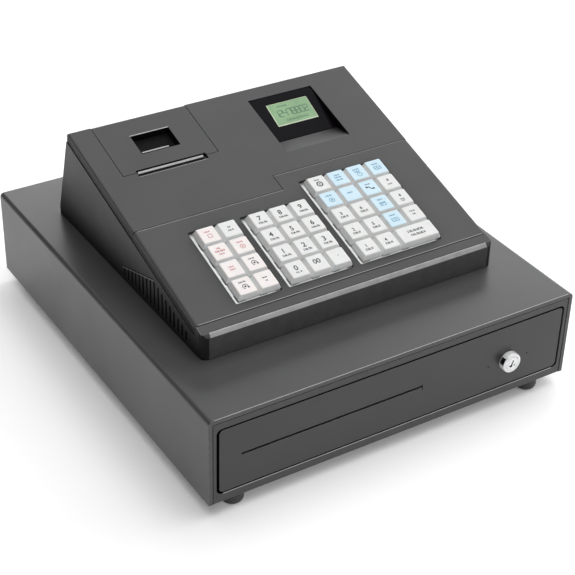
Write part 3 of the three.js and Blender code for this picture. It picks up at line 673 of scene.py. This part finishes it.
# Keys with words and icons: the node's name after key_, its ink and its line art from the middle of its top
NAMED_KEYS = (
    ("paper_feed", "red", [*words((4.2, 4, 1.6)), *receipt_icon(0.6, -1.6)]),
    ("time", "dark", words((2.6, 2, 1.7), (-1.6, 4, 1.7))),
    ("refund", "red", words((4.6, 3, 1.6), (1.0, 6, 1.9), (-3.0, 4, 1.6))),
    ("void", "red", [*words((4.6, 5, 1.5)), *cross_icon(0.4, -1.2)]),
    ("pay_out", "red", words((2.4, 4, 1.5), (-1.0, 4, 1.5))),
    ("return", "dark", [*words((4.9, 5, 1.4)), *turn_arrow(0.4, -0.8, 2.7)]),
    ("clear", "dark", [*words((5.0, 5, 1.7)), *turn_arrow(0.6, -1.0, 2.7)]),
    ("no_sale", "dark", [bar(0, 2.4, 5.2, 1.0), *words((-1.6, 2, 1.4))]),
    ("clerk", "dark", [*words((5.2, 4, 1.5)), *ring_strokes(0.4, -0.8, 2.9, 1.3), disc(0.4, -0.8, 1.0)]),
    ("coupon", "blue", words((4.4, 4, 1.7), (1.2, 5, 1.7), (-2.4, 5, 1.7))),
    ("price_check", "blue", [*words((4.4, 5, 1.7), (1.2, 4, 1.7)), *clock_icon(0.8, -3.0)]),
    ("currency", "blue", [*words((4.6, 5, 1.6)), *note_icon(0.4, -1.0)]),
    ("percent", "blue", [*words((4.8, 5, 1.6)), *coin_icon(0.4, -1.4)]),
    ("plus", "blue", words((1.2, 4, 1.7))),
    ("price_shift", "dark", [*words((4.9, 5, 1.3)), *zigzag_icon(0.2, -0.4)]),
    ("page_up", "dark", [*up_arrow(0.4, 3.0, 2.2), *words((-2.6, 4, 1.4))]),
    ("card", "blue", [*words((4.9, 4, 1.6)), *card_icon(0.4, -1.2)]),
    ("page_down", "dark", [*up_arrow(0.4, 3.4, 2.2, -1), *words((-2.2, 4, 1.4), (-4.4, 4, 1.2))]),
    ("cheque", "blue", [*words((4.9, 5, 1.5)), *note_icon(0.2, -1.2)]),
    ("subtotal", "dark", words((3.0, 5, 1.5), (-1.2, 3, 1.5))),
    ("cash_total", "dark", words((2.6, 9, 2.3), (-2.6, 8, 2.3))),
)


def key_legends():
    """What each key shows: its ink, its line art in millimetres, and its figures, their size and place."""
    legends = {}
    for digit in "0123456789":
        legends["key_" + digit] = ("dark", word(-3.9, 5, 2.1, 0.4), (digit, 6.0, -0.6, 2.0))
    legends["key_0"] = ("dark", [*word(-3.8, 3, 1.4, -1.2), disc(2.6, -3.6, 0.9)], ("0", 6.2, -0.2, 1.6))
    legends["key_00"] = ("dark", [], ("00", 5.8, 0.0, 2.0))
    legends["key_point"] = ("dark", [disc(0.6, 1.4, 0.62)], None)
    for number in range(1, 7):
        legends[f"key_dept_{number}"] = ("dark", word(-2.9, 4, 2.3), (str(number), 4.0, -1.0, 1.9))
    for name, ink, shapes in NAMED_KEYS:
        legends["key_" + name] = (ink, shapes, None)
    return legends


def text_outline(text, size):
    """Mesh of a plain figure lying flat, its height given in millimetres."""
    curve = bpy.data.curves.new("figure", "FONT")
    curve.body = text
    curve.align_x = "CENTER"
    curve.align_y = "CENTER"
    curve.size = size * 1.38 * MM
    curve.extrude = PROUD
    curve.offset = 0.15 * MM
    curve.resolution_u = 5
    holder = add_object("figure", curve)
    mesh = bpy.data.meshes.new_from_object(holder)
    bpy.data.objects.remove(holder)
    return mesh


# ------------ keys
def dish_height(inset):
    """Height of a key's dished top, by how far a point lies inside the skirt's side in millimetres."""
    reach = min(1.0, max(0.0, (inset - TOP_EDGE) / (FLOOR_EDGE - TOP_EDGE)))
    return KEY_RISE - DISH * reach * (2 - reach)


def cap_shell(bm, half_x, half_y):
    """The moulded cap, hollow from below."""
    def ring(height, side, front, rear, radius):
        return rounded_ring((-half_x + side * MM, -half_y + front * MM),
                            (half_x - side * MM, half_y - rear * MM), radius * MM, height * MM)

    def top_ring(height, inset, radius):
        return ring(height, inset, inset - FRONT_SHIFT, inset - REAR_SHIFT, radius)

    skirt = -KEY_SKIRT / MM
    outside = [
        ring(skirt, 0.0, 0.0, 0.0, 0.7), ring(1.3, 0.0, 0.0, 0.0, 0.8), ring(1.7, 0.18, 0.12, 0.08, 0.9),
        ring(5.5, 1.62, 1.18, 0.68, 1.3), ring(6.1, 1.92, 1.44, 0.86, 1.4), ring(6.4, 2.3, 1.85, 1.2, 1.4),
        top_ring(KEY_RISE / MM, TOP_EDGE, 1.3),
        *(top_ring(dish_height(inset) / MM, inset, 0.9) for inset in (4.0, 5.5, 7.0, FLOOR_EDGE)),
    ]
    inside = [
        ring(4.6, 2.9, 2.6, 2.0, 0.7), ring(1.6, 1.5, 1.4, 1.3, 0.7), ring(skirt, 1.2, 1.2, 1.2, 0.6),
    ]
    loft(bm, outside, close_start=False)
    loft(bm, inside, close_end=False)
    bmesh.ops.remove_doubles(bm, verts=bm.verts, dist=0.001 * MM)
    bmesh.ops.bridge_loops(bm, edges=[edge for edge in bm.edges if edge.is_boundary])


def print_legend(bm, shapes, figures, surface):
    """Lays line art and figures on a key's top, whose height at (x, y) the surface function gives."""
    for outline in shapes:
        slab(bm, in_metres(outline), lambda x, y: surface(x, y) - PROUD,
             lambda x, y: surface(x, y) + PROUD, 1)
    if figures:
        text, size, x, y = figures
        mesh = text_outline(text, size)
        mesh.transform(move(x * MM, y * MM, 0))
        for vertex in mesh.vertices:
            vertex.co.z += surface(vertex.co.x, vertex.co.y)
        start = len(bm.faces)
        bm.from_mesh(mesh)
        bm.faces.ensure_lookup_table()
        for face in bm.faces[start:]:
            face.material_index = 1


def key_cap(node, legend):
    """A cap with its dished top, its stem and its printed legend."""
    low, high = local_box(node, SLOPE)
    half_x, half_y = (high.x - low.x) / 2, (high.y - low.y) / 2

    def surface(x, y):
        front, rear = half_y + y + FRONT_SHIFT * MM, half_y - y + REAR_SHIFT * MM
        return dish_height(min(half_x - abs(x), front, rear) / MM)

    bm = bmesh.new()
    cap_shell(bm, half_x, half_y)
    slab(bm, [(x * STEM, y * STEM) for x, y in strip(-1, 1, -1, 1)], low.z, 5.0 * MM)
    bm.normal_update()
    for face in bm.faces:
        if face.normal.z < SIDE_SLOPE and face.calc_center_median().z > 0:
            face.material_index = 2
    ink, shapes, figures = legend
    print_legend(bm, shapes, figures, surface)
    place = SLOPE @ move(*((low + high) / 2).xy, 0)
    stand_in(node, node + "_cap", bm, [ink, "key_white"], place, 40)


def tray_notches(bm):
    """Painted shade in the white frame: dark notches for the gaps at the front left corner of every outer key
    of a block.
    """
    boxes = [local_box(node, SLOPE) for node in key_legends()]
    top = local_box("key_frame", SLOPE)[1].z
    near = 2.0  # keys closer than this are neighbours, in millimetres
    shapes = []
    for low, high in boxes:
        x, y = low.x / MM, low.y / MM
        left = any(abs(h.x / MM - x) < near and l.y / MM - near < y < h.y / MM for l, h in boxes)
        below = any(abs(h.y / MM - y) < near and l.x / MM - near < x < h.x / MM for l, h in boxes)
        if not left:
            shapes.append(strip(x - 1.3, x - 0.6, y - 0.4, y + 8.5))
        if not below:
            shapes.append(strip(x - 0.6, x + 7.5, y - 0.9, y - 0.4))
    # painted shade of the gaps between caps and frame
    marks(bm, shapes, SLOPE @ move(0, 0, top), 1)


def keyboard():
    """All key caps, the white frame and the panel around it."""
    for node, legend in key_legends().items():
        key_cap(node, legend)
    refined("key_frame", "key_tray", 0.2 * MM, details=tray_notches, accents=["mark"])
    refined("keyboard_panel", "keyboard_cover", 0.4 * MM, long_edges(3.6, 0.6), details=panel_lines,
            accents=PANEL)


# ------------ register case
def long_edges(radius, lean):
    """Gives a cover's long edges a rounding of this radius, and leans its side skirts in."""
    def shape(bm):
        half = max(vertex.co.x for vertex in bm.verts) / MM
        tiny = 0.01
        for vertex in bm.verts:
            x, y, z = on_slope(vertex.co)
            beyond = abs(x) - (half - EDGE_RADIUS)
            lift = z + EDGE_RADIUS
            if beyond > -tiny and lift > -tiny:
                x = math.copysign(half - radius + beyond * radius / EDGE_RADIUS, x)
                z = lift * radius / EDGE_RADIUS - radius
            elif beyond > -1.0 and z < 1 - SKIRT_DEPTH:
                x -= math.copysign(lean, x)
            vertex.co = SLOPE @ (Vector((x, y, z)) * MM)
        # painted shade: the side skirts take a darker copy of the plastic
        for face in bm.faces:
            x, y, z = on_slope(face.calc_center_median())
            if abs(x) > half - 2 and -SKIRT_DEPTH < z < -radius:
                face.material_index = PANEL["skirt"]
    return shape


def front_finish(bm):
    """Paints a sheen on the front chamfer and its left corner, paints the front face lighter as if lit, and
    paints shade on the upright corners.
    """
    front = min(vertex.co.y for vertex in bm.verts)
    end = max(vertex.co.x for vertex in bm.verts) - (CORNER_RADIUS + CHAMFER_STOP) * MM

    def parts():
        """Faces near the front, with the degrees they turn to the left, the same unsigned, and their rise."""
        for face in bm.faces:
            heading = math.degrees(math.atan2(-face.normal.x, -face.normal.y))
            if face.calc_center_median().y < front + 8 * MM:
                yield face, heading, abs(heading), face.normal.z

    def is_chamfer(rise):
        return 0.35 < rise < 0.85

    for side in (-1, 1):
        chamfer = [face for face, heading, turn, rise in parts() if turn < FRONTAL and is_chamfer(rise)]
        edges = {edge for face in chamfer for edge in face.edges}
        corners = {vertex for face in chamfer for vertex in face.verts}
        bmesh.ops.bisect_plane(bm, geom=[*corners, *edges, *chamfer],
                               plane_co=(side * end, 0, 0), plane_no=(1, 0, 0))
    for face, heading, turn, rise in parts():
        middle = abs(face.calc_center_median().x) < end
        upright = abs(rise) < 0.2
        # painted sheen: a highlight along the chamfer and a highlight blob on its left corner
        if is_chamfer(rise) and (turn < FRONTAL and middle or 30 < heading < 80):
            face.material_index = CASE["sheen"]
        # painted light: the flat front face takes a lighter copy of the case plastic
        elif upright and turn < FRONTAL:
            face.material_index = CASE["front"]
        # painted shade: the rounded upright corners are darkened
        elif upright and turn < 86:
            face.material_index = CASE["mark"]


def chamfer_lines(bm):
    """A painted highlight line along the upper edge of the chamfer with its painted sheen, and a painted
    shade line behind it.
    """
    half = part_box("register_base")[1].x / MM - CORNER_RADIUS - CHAMFER_STOP
    sheen = CASE["sheen"]
    chamfer = [face for face in bm.faces if face.material_index == sheen and abs(face.normal.x) < 0.1]
    upper = max(on_slope(vertex.co).y for face in chamfer for vertex in face.verts)
    # painted highlight
    marks(bm, [strip(-half, half, upper + 0.1, upper + 0.8)], SLOPE, CASE["bright"])
    # painted shade
    marks(bm, [strip(-half, half, upper + 0.8, upper + 1.6)], SLOPE, CASE["mark"])


def vent_lines(bm):
    """Painted shade and painted highlight lines that stand for a fine step along the upper edge of the vent
    field, on both sides.
    """
    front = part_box("register_base")[0].y
    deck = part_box("cabinet_shell")[1].z
    half = max(vertex.co.x for vertex in bm.verts)
    run = 162.8
    line = [stroke(run, 14.8, run - 68, 36.0, 0.9)]
    light = [stroke(run - 2, 14.0, run - 68, 34.6, 0.6)]
    for side in (-1, 1):
        place = move(side * half, front, deck) @ Matrix(
            ((0, 0, side, 0), (1, 0, 0, 0), (0, 1, 0, 0), (0, 0, 0, 1)))
        # painted shade
        marks(bm, line, place, CASE["black"])
        # painted highlight
        marks(bm, light, place, CASE["line"])


def case_lines(bm):
    """Fine lines on the case: along the chamfer and above the vents."""
    chamfer_lines(bm)
    vent_lines(bm)


def panel_lines(bm):
    """Painted highlight lines along the panel's front edge, and along its rear edge, which steps back on the
    right.
    """
    half = max(vertex.co.x for vertex in bm.verts) / MM - 4
    top = [point for point in (on_slope(vertex.co) for vertex in bm.verts) if point.z > -0.3]
    front = min(point.y for point in top)
    rear_left = max(point.y for point in top if point.x < -10)
    rear_right = max(point.y for point in top if point.x > 10)
    step = min(point.x for point in top if point.y > rear_left + 5)
    lines = [strip(-half, step, rear_left - 0.9, rear_left - 0.3),
             strip(step + 0.4, half, rear_right - 0.8, rear_right - 0.3),
             strip(-half, half, front + 0.5, front + 1.2)]
    marks(bm, lines, SLOPE, PANEL["line"])


def cover_details(bm):
    """A painted highlight line in front of the paper exit, and painted shade on the side walls of the display
    recess.
    """
    low, high = local_box("tear_bar", SLOPE)
    left, right = low.x / MM - 1.0, high.x / MM + 3.2
    exit_front = low.y / MM - 3.8
    marks(bm, [strip(left, right, exit_front - 0.55, exit_front)], SLOPE, COVER["line"])
    lens_low, lens_high = local_box("display_window", SLOPE)
    near = 1 * MM
    for face in bm.faces:
        place = TO_SLOPE @ face.calc_center_median()
        beside = min(abs(place.x - lens_low.x), abs(place.x - lens_high.x)) < near
        if beside and abs(face.normal.x) > 0.9 and lens_low.y - near < place.y < lens_high.y + near:
            # painted shade on the recess walls
            face.material_index = COVER["black"]


def finger_well(bm):
    """Paints shade black inside the finger well and paints highlights on the edges that catch the light."""
    left, right, front, rear = (WELL[side] for side in ("left", "right", "front", "rear"))
    slack = 0.1
    for face in bm.faces:
        x, y, z = on_slope(face.calc_center_median())
        inside = left - slack < x < right + slack and front - slack < y < rear + slack
        # painted shade: the inside of the well is black
        if inside and z < -0.2:
            face.material_index = LID["black"]
    bright = LID["bright"]
    # painted highlights on the well's rear edge and on the ledge
    marks(bm, [strip(left - 0.5, right, rear, rear + 1.0)], SLOPE, bright)
    ledge = SLOPE @ move(0, 0, LIP["top"] * MM)
    marks(bm, [strip(LIP["left"], LIP["right"], LIP["rear"] - 1.5, LIP["rear"])], ledge, bright, 0.2 * MM)


def tear_blade():
    """Toothed cutting strip on its narrow base."""
    low, high = local_box("tear_bar", SLOPE)
    depth = high.y - low.y
    bm = bmesh.new()
    slab(bm, strip(low.x, high.x, low.y, high.y), low.z, low.z + 0.9 * MM, 1)
    pitch = 1.2 * MM
    tooth = 0.5 * MM
    count = int((high.x - low.x) / pitch)
    thick = 0.45 * MM
    foot_y = low.y + 0.25 * depth
    edge_y = low.y + 0.75 * depth
    crest = [Vector((low.x + i * pitch / 2, edge_y, high.z - tooth * (i % 2)))
             for i in range(2 * count + 1)]
    foot = [Vector((point.x, foot_y, low.z + 0.5 * MM)) for point in crest]
    back = Vector((0, thick, 0))
    rings = [[a, b, b + back, a + back] for a, b in zip(foot, crest)]
    loft(bm, rings)
    stand_in("tear_bar", "paper_cutter", bm, ["mark"], SLOPE)


def register_case():
    """Base, covers, platen, tear bar and screws."""
    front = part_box("register_base")[0].y
    refined("register_base", "register_body", 0.5 * MM, front_finish, lambda point: point.y < front + 16 * MM,
            case_lines, CASE)
    refined("top_cover", "printer_display_cover", 0.4 * MM, long_edges(2.6, 0.8), details=cover_details,
            accents=COVER)
    refined("printer_cover", "printer_lid", 0.35 * MM, details=finger_well, accents=LID)
    refined("platen_roller", "platen", 0.3 * MM)
    tear_blade()
    rear_screws()


def rear_screws():
    """Four pan-head screws on the register's rear wall."""
    place = plate_frame("register_base", lambda normal: normal.y > 0.8)
    profile = [(3.2, -0.3), (3.2, 0.5), (2.6, 1.2), (1.6, 1.5), (1.2, 1.5), (1.2, 0.6)]
    bm = bmesh.new()
    for x in (-135, 135):
        for y in (-28, 12):
            seat = place @ move(x * MM, y * MM, 0)
            known = set(bm.verts)
            turned(bm, profile, 24)
            move_new(bm, known, seat)
    finish_piece("rear_case_screws", bm, [MATERIALS["clip_steel"]], "cabinet")


# ------------ display
SEGMENTS = {  # a b c d e f g, as on a seven-segment figure
    "0": "abcdef", "1": "bc", "2": "abged", "4": "fgbc", "7": "abc", "8": "abcdefg",
}


def segment_figure(figure, x, y, height):
    """Bars of one seven-segment figure, standing on (x, y)."""
    width = height * 0.5
    line = height * 0.13
    half = height / 2
    places = {
        "a": (width / 2, height, width, line), "g": (width / 2, half, width, line),
        "d": (width / 2, 0, width, line),
        "f": (0, half * 1.5, line, half), "b": (width, half * 1.5, line, half),
        "e": (0, half * 0.5, line, half), "c": (width, half * 0.5, line, half),
    }
    return [bar(x + dx, y + dy, w, h) for dx, dy, w, h in (places[name] for name in SEGMENTS[figure])]


def display():
    """The smoked lens, and behind its opening the crystal module."""
    turn = plate_frame("display_window", lambda normal: normal.z > 0.5).to_3x3().to_4x4()
    low, high = local_box("display_window", turn)
    module_low, module_high = local_box("lcd_panel", turn)
    margin = Vector((MODULE_MARGIN, MODULE_MARGIN, 0)) * MM
    hole_low, hole_high = module_low + margin, module_high - margin
    display_lens(turn, low, high, hole_low, hole_high, margin)
    display_crystal(turn, low.z, high.z - 1.0 * MM, (module_low, module_high), (hole_low, hole_high))


def display_lens(turn, low, high, hole_low, hole_high, margin):
    """Black frame with rounded corners round the opening."""
    rings = [
        rounded_ring(low, high, 5 * MM, low.z, low_radius=2 * MM),
        rounded_ring(low, high, 5 * MM, high.z - 0.3 * MM, low_radius=2 * MM),
        rounded_ring(low + margin * 0.08, high - margin * 0.08, 4.8 * MM, high.z, low_radius=1.8 * MM),
        rounded_ring(hole_low, hole_high, 0.3 * MM, high.z),
        rounded_ring(hole_low + margin * 0.05, hole_high - margin * 0.05, 0.2 * MM, low.z),
    ]
    bm = bmesh.new()
    loft(bm, rings, loop=True)
    stand_in("display_window", "display_lens", bm, (), turn)


def display_crystal(turn, lens_rear, glass_top, module, hole):
    """Crystal module: a black case, the green glass with its lighter border, and figures."""
    inset = Vector((MODULE_MARGIN, MODULE_MARGIN, 0)) * 0.1 * MM
    case_top = lens_rear - 0.35 * MM
    glass_low = lens_rear - 0.4 * MM
    bm = bmesh.new()
    loft(bm, [rounded_ring(*module, 0.5 * MM, z) for z in (module[0].z, case_top)],
         material=CRYSTAL["black"])
    glass = (hole[0] + inset, hole[1] - inset)
    loft(bm, [rounded_ring(*glass, 0.2 * MM, z) for z in (glass_low, glass_top)])
    (left, bottom), (right, top) = ((corner / MM).xy for corner in glass)
    border = [strip(left, right, bottom, bottom + 1.5), strip(left, left + 1.2, bottom + 1.5, top),
              strip(right - 0.8, right, bottom + 1.5, top), strip(left + 1.2, right - 0.8, top - 0.6, top)]
    figures = []
    for index, figure in enumerate("12478802"):
        figures += segment_figure(figure, left + 4.0 + index * 5.2, bottom + 11.5, 8.4)
    figures += word(bottom + 6.0, 12, 2.4, (left + right) / 2 + 2)
    figures += word(top - 5.0, 7, 2.0, (left + right) / 2 - 8)
    place = move(0, 0, glass_top)
    marks(bm, border, place, CRYSTAL["bright green"], 0.02 * MM)
    marks(bm, figures, place, CRYSTAL["segment"], 0.03 * MM)
    stand_in("lcd_panel", "display_crystal", bm, CRYSTAL, turn)


# ------------ cash drawer
def rubber_foot(node):
    """Round foot with a hollow for its screw."""
    low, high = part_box(node)
    radius = (high.x - low.x) / 2 / MM
    top = (high.z - low.z) / MM
    profile = [
        (2.2, top), (radius - 1.4, top), (radius - 0.4, top - 0.5), (radius, top - 1.6), (radius, 4.2),
        (radius - 0.3, 3.0), (radius - 1.0, 1.6), (radius - 2.2, 0.6), (radius - 3.6, 0.1),
        (radius - 4.4, 0.0), (radius - 5.2, 0.3), (radius - 5.6, 1.2), (2.6, 1.4), (2.2, 1.9),
    ]
    bm = bmesh.new()
    turned(bm, profile, 48, loop=True)
    place = move(*((low + high) / 2).xy, low.z)
    stand_in(node, node + "_pad", bm, (), place)


def upright_frame(low, high, depth):
    """Frame in the middle of a box and at the given y: x across, y up, z towards the operator."""
    middle = (low + high) / 2
    return move(middle.x, depth, middle.z) @ Matrix.Rotation(QUARTER, 4, "X")


def front_frame(node):
    """Upright frame on the front of a CAD node."""
    low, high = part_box(node)
    return upright_frame(low, high, low.y)


def lock():
    """Nickel barrel with a bevelled rim, and the plug that turns inside it."""
    low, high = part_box("lock_housing")
    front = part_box("drawer_front")[0].y
    place = upright_frame(low, high, front)
    radius = (high.x - low.x) / 2 / MM
    lock_barrel(place, radius, (front - low.y) / MM, (front - high.y) / MM)
    low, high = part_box("lock_cylinder")
    lock_plug(place, radius - 3.2, (front - low.y) / MM, (front - high.y) / MM)


def lock_barrel(place, radius, face, rear):
    """Barrel from its rear to its face, with the studio's dark reflection on its upper left."""
    bore = radius - 2.9
    profile = [
        (bore, rear), (radius - 1, rear), (radius - 1, 0.3), (radius, 0.3), (radius, face - 1.3),
        (radius - 0.4, face - 0.6), (radius - 1.1, face - 0.15), (radius - 1.8, face),
        (radius - 2.3, face - 0.15), (radius - 2.7, face - 0.6), (bore, face - 0.9),
    ]
    bm = bmesh.new()
    turned(bm, profile, 64, loop=True)
    inner, outer, back, fore = radius - 0.3, radius + 0.04, 1.0, face - 1.4
    section = ((inner, back), (outer, back), (outer, fore), (inner, fore))
    angles = [math.radians(138 + 5 * i) for i in range(9)]
    patch = [[Vector((*polar(reach, angle), z)) * MM for reach, z in section] for angle in angles]
    loft(bm, patch, material=1)
    stand_in("lock_housing", "lock_barrel", bm, ["shade"], place)


def lock_plug(place, radius, face, rear):
    """Plug with a ring groove, its latch cam, the keyway as a black mark of painted shade, and small engraved
    marks.
    """
    profile = [
        (radius, rear), (radius, face - 0.4), (radius - 0.4, face), (radius - 1.1, face),
        (radius - 1.3, face - 0.3), (radius - 1.6, face - 0.3), (radius - 1.8, face),
    ]
    bm = bmesh.new()
    turned(bm, profile, 64)
    slab(bm, in_metres(strip(-4.5, 4.5, -5, 18)), rear * MM, (rear + 2) * MM)
    keyway = [stroke(-1.3, -2.8, 1.3, 3.4, 1.5), disc(-1.3, -2.6, 1.5)]
    engraved = [arc_band(0, 0, 3.9, 0.5, 200, 240), arc_band(0, 0, 3.9, 0.5, 300, 340),
                bar(1.55, -2.2, 0.9, 0.5), bar(2.2, -1.1, 0.5, 0.9)]
    # the keyway is painted shade, drawn as a black mark
    marks(bm, keyway + engraved, move(0, 0, face * MM), 1)
    stand_in("lock_cylinder", "lock_plug_face", bm, ["black"], place)


def near_fascia_rim(point):
    """Whether a point is close to the outer edge of the drawer front."""
    low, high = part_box("drawer_front")
    return min(high.x - abs(point.x), point.z - low.z, high.z - point.z) < FASCIA_RIM


def fascia_details(bm):
    """Painted shade: black edges all round, which darken the gap round the drawer front, and small pressed
    marks beside and above the lock.
    """
    for face in bm.faces:
        if near_fascia_rim(face.calc_center_median()) and abs(face.normal.y) < 0.2:
            # painted shade on the edge faces
            face.material_index = FASCIA["black"]
    place = front_frame("drawer_front")
    low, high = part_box("lock_housing")
    x, _, y = ((low + high) / 2 - place.translation) / MM
    shapes = [disc(x - 24, y, 1.3), disc(x + 24, y, 1.3), stroke(x - 1.6, y + 14.4, x + 3.4, y + 16.2, 1.0)]
    marks(bm, shapes, place, FASCIA["mark"], 0.03 * MM)


def deck_line(bm):
    """Painted highlight: a bright line along the folded front edge of the cabinet top."""
    low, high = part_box("cabinet_shell")
    place = move(0, low.y, high.z)
    reach = high.x / MM - 6
    marks(bm, [strip(-reach, reach, 0.5, 1.1)], place, 1)


def bezel_lines(bm):
    """Dark joint round the bezel, painted shade on the faces inside its opening, and a painted highlight
    along the lower edge of its opening.
    """
    low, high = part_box("front_bezel")
    drawer_low, drawer_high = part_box("drawer_front")
    place = front_frame("front_bezel")
    reach = drawer_high.x + 2 * MM
    for face in bm.faces:
        centre = face.calc_center_median()
        inside = abs(centre.x) < reach and drawer_low.z - 2 * MM < centre.z < drawer_high.z + 2 * MM
        # painted shade: faces inside the opening are black
        face.material_index = BEZEL["black" if inside and abs(face.normal.y) < 0.5 else "bezel"]
    across = high.x / MM
    up = (high.z - low.z) / 2 / MM
    line = 0.7
    joint = [strip(-across, -across + line, -up, up), strip(across - line, across, -up, up),
             strip(-across + line, across - line, up - line, up)]
    sill = (drawer_low.z - place.translation.z) / MM - 1.7
    half = drawer_high.x / MM - 4
    marks(bm, joint, place, BEZEL["mark"])
    # painted highlight along the sill
    marks(bm, [strip(-half, half, sill - line, sill)], place, BEZEL["bright"])


def coin_cups(bm):
    """Rounded floors in the coin cups."""
    radius = 26 * MM
    steps = 8
    angles = [i / steps * QUARTER for i in range(steps + 1)]
    for opening in frame["record"]["physics"]["openings"]:
        if not opening["name"].startswith("coin_cup"):
            continue
        low, high = (Vector(corner) for corner in opening["box_m"])
        left, right = low.x - 0.9 * MM, high.x + 0.9 * MM
        front, rear, floor = low.y - 0.9 * MM, high.y + 0.9 * MM, low.z - 0.6 * MM
        for start, sign in ((front, 1), (rear, -1)):
            centre = start + sign * radius
            curve = [(centre - sign * radius * math.cos(angle), floor + radius * (1 - math.sin(angle)))
                     for angle in angles]
            outline = [(start, floor)] + curve
            loft(bm, [[Vector((x, y, z)) for y, z in outline] for x in (left, right)])


def cash_drawer():
    """Feet, cabinet, drawer, till, clips and lock."""
    for node in ("foot_front_left", "foot_front_right", "foot_rear_left", "foot_rear_right"):
        rubber_foot(node)
    refined("cabinet_shell", "cabinet_cover", 0.4 * MM, details=deck_line, accents=["bright"])
    refined("front_bezel", "cabinet_bezel", 0.5 * MM, details=bezel_lines, accents=BEZEL)
    refined("drawer_front", "drawer_fascia", 0.5 * MM, None, near_fascia_rim, fascia_details, FASCIA)
    refined("drawer_box", "drawer_pan", 0.3 * MM)
    refined("till_insert", "till_tray", 0.6 * MM, details=coin_cups)
    refined("bill_clips", "note_clips", 0.3 * MM)
    lock()


# ------------ studio
FLOOR_REACH = 60  # metres from the middle of the floor to its edge
SUN_SPREAD = 60  # degrees across which a soft sun's light comes
# Soft suns: the way their light travels, and its strength
SUNS = {
    "overhead": ((0, -0.1, -1), 1.25),
    "front_fill": ((0, 0.8, -1), 0.9),
    "right_key": ((-0.8, 0, -1), 1.25),
}
# Light panels that face the object: place and size in metres, and power in watts
PANELS = {
    "rear_strip": ((1.75, 2.7, 1.5), (3.6, 1.3), 43),
    "right_strip": ((3.2, 0.6, 1.2), (3.0, 1.2), 10),
}
PANEL_AIM = (0, 0, 0.1)
CAMERA_PLACE = (-0.70325, -1.12054, 0.92691)
CAMERA_AIM = (-0.03397, -0.07710, 0.111)
CAMERA_ROLL = 1.64  # degrees
FOCAL_LENGTH = 94.97  # millimetres, on a 36 mm wide sensor


def pale_floor():
    """Flat floor that gives off a little light, so that the object's shadow stays soft."""
    mesh = bpy.data.meshes.new("floor")
    corners = [(x, y, 0) for x, y in strip(-FLOOR_REACH, FLOOR_REACH, -FLOOR_REACH, FLOOR_REACH)]
    mesh.from_pydata(corners, [], [(0, 1, 2, 3)])
    surface = Shader("floor_white", (0.93, 0.93, 0.93), 0.8)
    surface.mottle(2, 0.01).set(Emission_Color=(1, 1, 1, 1), Emission_Strength=0.14)
    mesh.materials.append(surface.material)
    plane = add_object("floor", mesh)


def studio():
    """Floor, dim surroundings and all lights."""
    pale_floor()
    world = bpy.data.worlds.new("studio")
    world.use_nodes = True
    background = world.node_tree.nodes["Background"].inputs
    background["Color"].default_value = (1, 1, 1, 1)
    background["Strength"].default_value = 0.06
    bpy.context.scene.world = world
    for name, (travel, strength) in SUNS.items():
        light(name, "SUN", (0, 0, 0), Vector(travel), strength).angle = math.radians(SUN_SPREAD)
    for name, (place, size, power) in PANELS.items():
        panel = light(name, "AREA", place, Vector(PANEL_AIM) - Vector(place), power)
        panel.shape = "RECTANGLE"
        panel.size, panel.size_y = size


def light(name, kind, place, travel, energy):
    """A light that shines along a direction."""
    lamp = bpy.data.lights.new(name, kind)
    lamp.energy = energy
    turn = travel.to_track_quat("-Z", "Y").to_matrix().to_4x4()
    add_object(name, lamp).matrix_world = Matrix.Translation(place) @ turn
    return lamp


def camera():
    """Three-quarter view from the front left, above the counter."""
    place = Vector(CAMERA_PLACE)
    roll = math.radians(CAMERA_ROLL)
    forward = (Vector(CAMERA_AIM) - place).normalized()
    right = forward.cross(UP).normalized()
    above = right.cross(forward)
    side = math.cos(roll) * right + math.sin(roll) * above
    top = -math.sin(roll) * right + math.cos(roll) * above
    lens = bpy.data.cameras.new("camera")
    lens.sensor_width = 36
    lens.lens = FOCAL_LENGTH
    holder = add_object("camera", lens)
    axes = Matrix((side, top, -forward)).transposed().to_4x4()
    holder.matrix_world = Matrix.Translation(place) @ axes
    bpy.context.scene.camera = holder


camera()
studio()
keyboard()
register_case()
display()
cash_drawer()
bpy.context.scene.view_settings.view_transform = "Standard"
